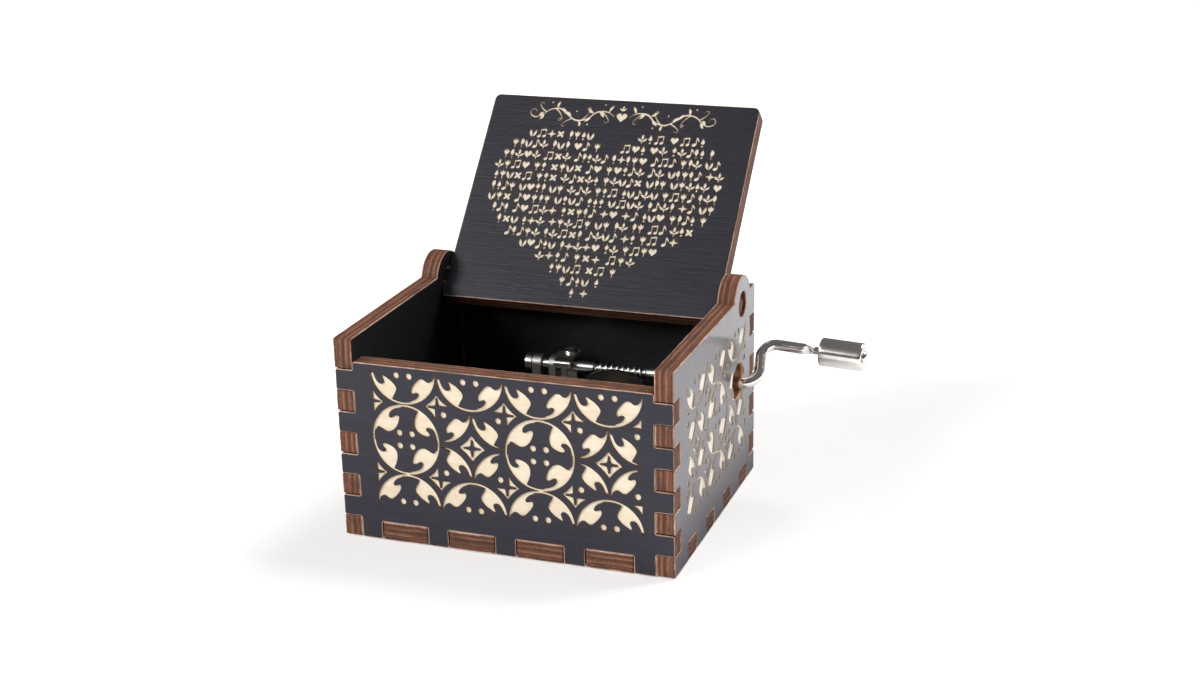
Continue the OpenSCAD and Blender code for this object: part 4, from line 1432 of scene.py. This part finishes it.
# ------------------------------------------------------------------ stage and light
def stage_floor():
    t = Tree("pale_floor_painted_dark_reflection")
    o = t.node("ShaderNodeTexCoord").outputs["Object"]
    n = t.noise(o, 3.0, 3, 0.5)
    sep = t.node("ShaderNodeSeparateXYZ")
    t.link(o, sep.inputs[0])
    x, y = sep.outputs[0], sep.outputs[1]
    # A patch beside the right panel's foot, seen only by glossy rays, is darkened and glows less: painted shade, so the
    # right face reflects a dark floor near its base.
    near = t.math("MULTIPLY", t.step(x, 0.029, 0.031), t.step(x, 0.031, 0.045, 1.0, 0.0))
    near = t.math("MULTIPLY", near, t.step(y, -0.032, -0.020))
    near = t.math("MULTIPLY", near, t.node("ShaderNodeLightPath").outputs["Is Glossy Ray"])
    # Base colour darkens over that patch: painted shade, in reflections only.
    t.out("Base Color", t.mix(t.math("MULTIPLY", near, 0.75), t.mix(n, (0.90, 0.90, 0.90), (0.93, 0.93, 0.93)),
                              (0.06, 0.05, 0.06)))
    t.out("Roughness", 0.9)
    t.out("Specular IOR Level", 0.1)
    t.out("Emission Color", (1.0, 1.0, 1.0, 1.0))
    # Emission drops over the same patch: part of the painted shade in the reflection.
    t.out("Emission Strength", t.math("SUBTRACT", 0.3, t.math("MULTIPLY", near, 0.22)))
    mesh = bpy.data.meshes.new("floor")
    s = 9.0
    mesh.from_pydata([(-s, -s, -0.0002), (s, -s, -0.0002), (s, s, -0.0002), (-s, s, -0.0002)], [], [(0, 1, 2, 3)])
    mesh.materials.append(t.mat)
    o = bpy.data.objects.new("floor", mesh)
    COL.objects.link(o)


stage_floor()


def area_light(name, at, size, power, aim=(0, 0, 0.02), size_y=None, color=(1, 1, 1)):
    d = bpy.data.lights.new(name, "AREA")
    d.shape = "RECTANGLE"
    d.size = size
    d.size_y = size_y or size
    d.energy = power
    d.color = color
    o = bpy.data.objects.new(name, d)
    COL.objects.link(o)
    o.location = at
    o.rotation_euler = (Vector(aim) - Vector(at)).to_track_quat("-Z", "Y").to_euler()
    return o


def sun(name, direction, strength, spread):
    """Soft, distant light from a direction."""
    d = bpy.data.lights.new(name, "SUN")
    d.energy = strength
    d.angle = math.radians(spread)
    o = bpy.data.objects.new(name, d)
    COL.objects.link(o)
    o.rotation_euler = Vector(direction).to_track_quat("Z", "Y").to_euler()
    return o


sun("key", (-0.86, -0.72, 0.66), 2.5, 26)
sun("back", (0.50, 0.70, 0.80), 2.6, 40)
area_light("strip", (-0.245, -0.56, 0.35), 0.10, 0.5, (0, 0.01, 0.025), 0.10)

world = bpy.data.worlds.new("world")
bpy.context.scene.world = world
world.use_nodes = True
wn = world.node_tree
bg = wn.nodes["Background"]
tc = wn.nodes.new("ShaderNodeTexCoord")
sp = wn.nodes.new("ShaderNodeSeparateXYZ")
rp = wn.nodes.new("ShaderNodeValToRGB")
wn.links.new(tc.outputs["Generated"], sp.inputs[0])
mr = wn.nodes.new("ShaderNodeMapRange")
wn.links.new(sp.outputs[2], mr.inputs[0])
mr.inputs[1].default_value = -1
mr.inputs[2].default_value = 1
wn.links.new(mr.outputs[0], rp.inputs[0])
el = rp.color_ramp.elements
el[0].position, el[0].color = 0.5, (0.035, 0.026, 0.022, 1)
el[1].position, el[1].color = 0.62, (0.055, 0.045, 0.040, 1)
for pos, col in ((0.72, (0.13, 0.12, 0.12, 1)), (0.82, (0.20, 0.20, 0.20, 1)),
                 (0.90, (0.13, 0.13, 0.13, 1)), (1.0, (0.16, 0.16, 0.16, 1))):
    e = el.new(pos)
    e.color = col
wn.links.new(rp.outputs[0], bg.inputs[0])
bg.inputs[1].default_value = 1.0
bpy.context.scene.view_settings.view_transform = "Standard"
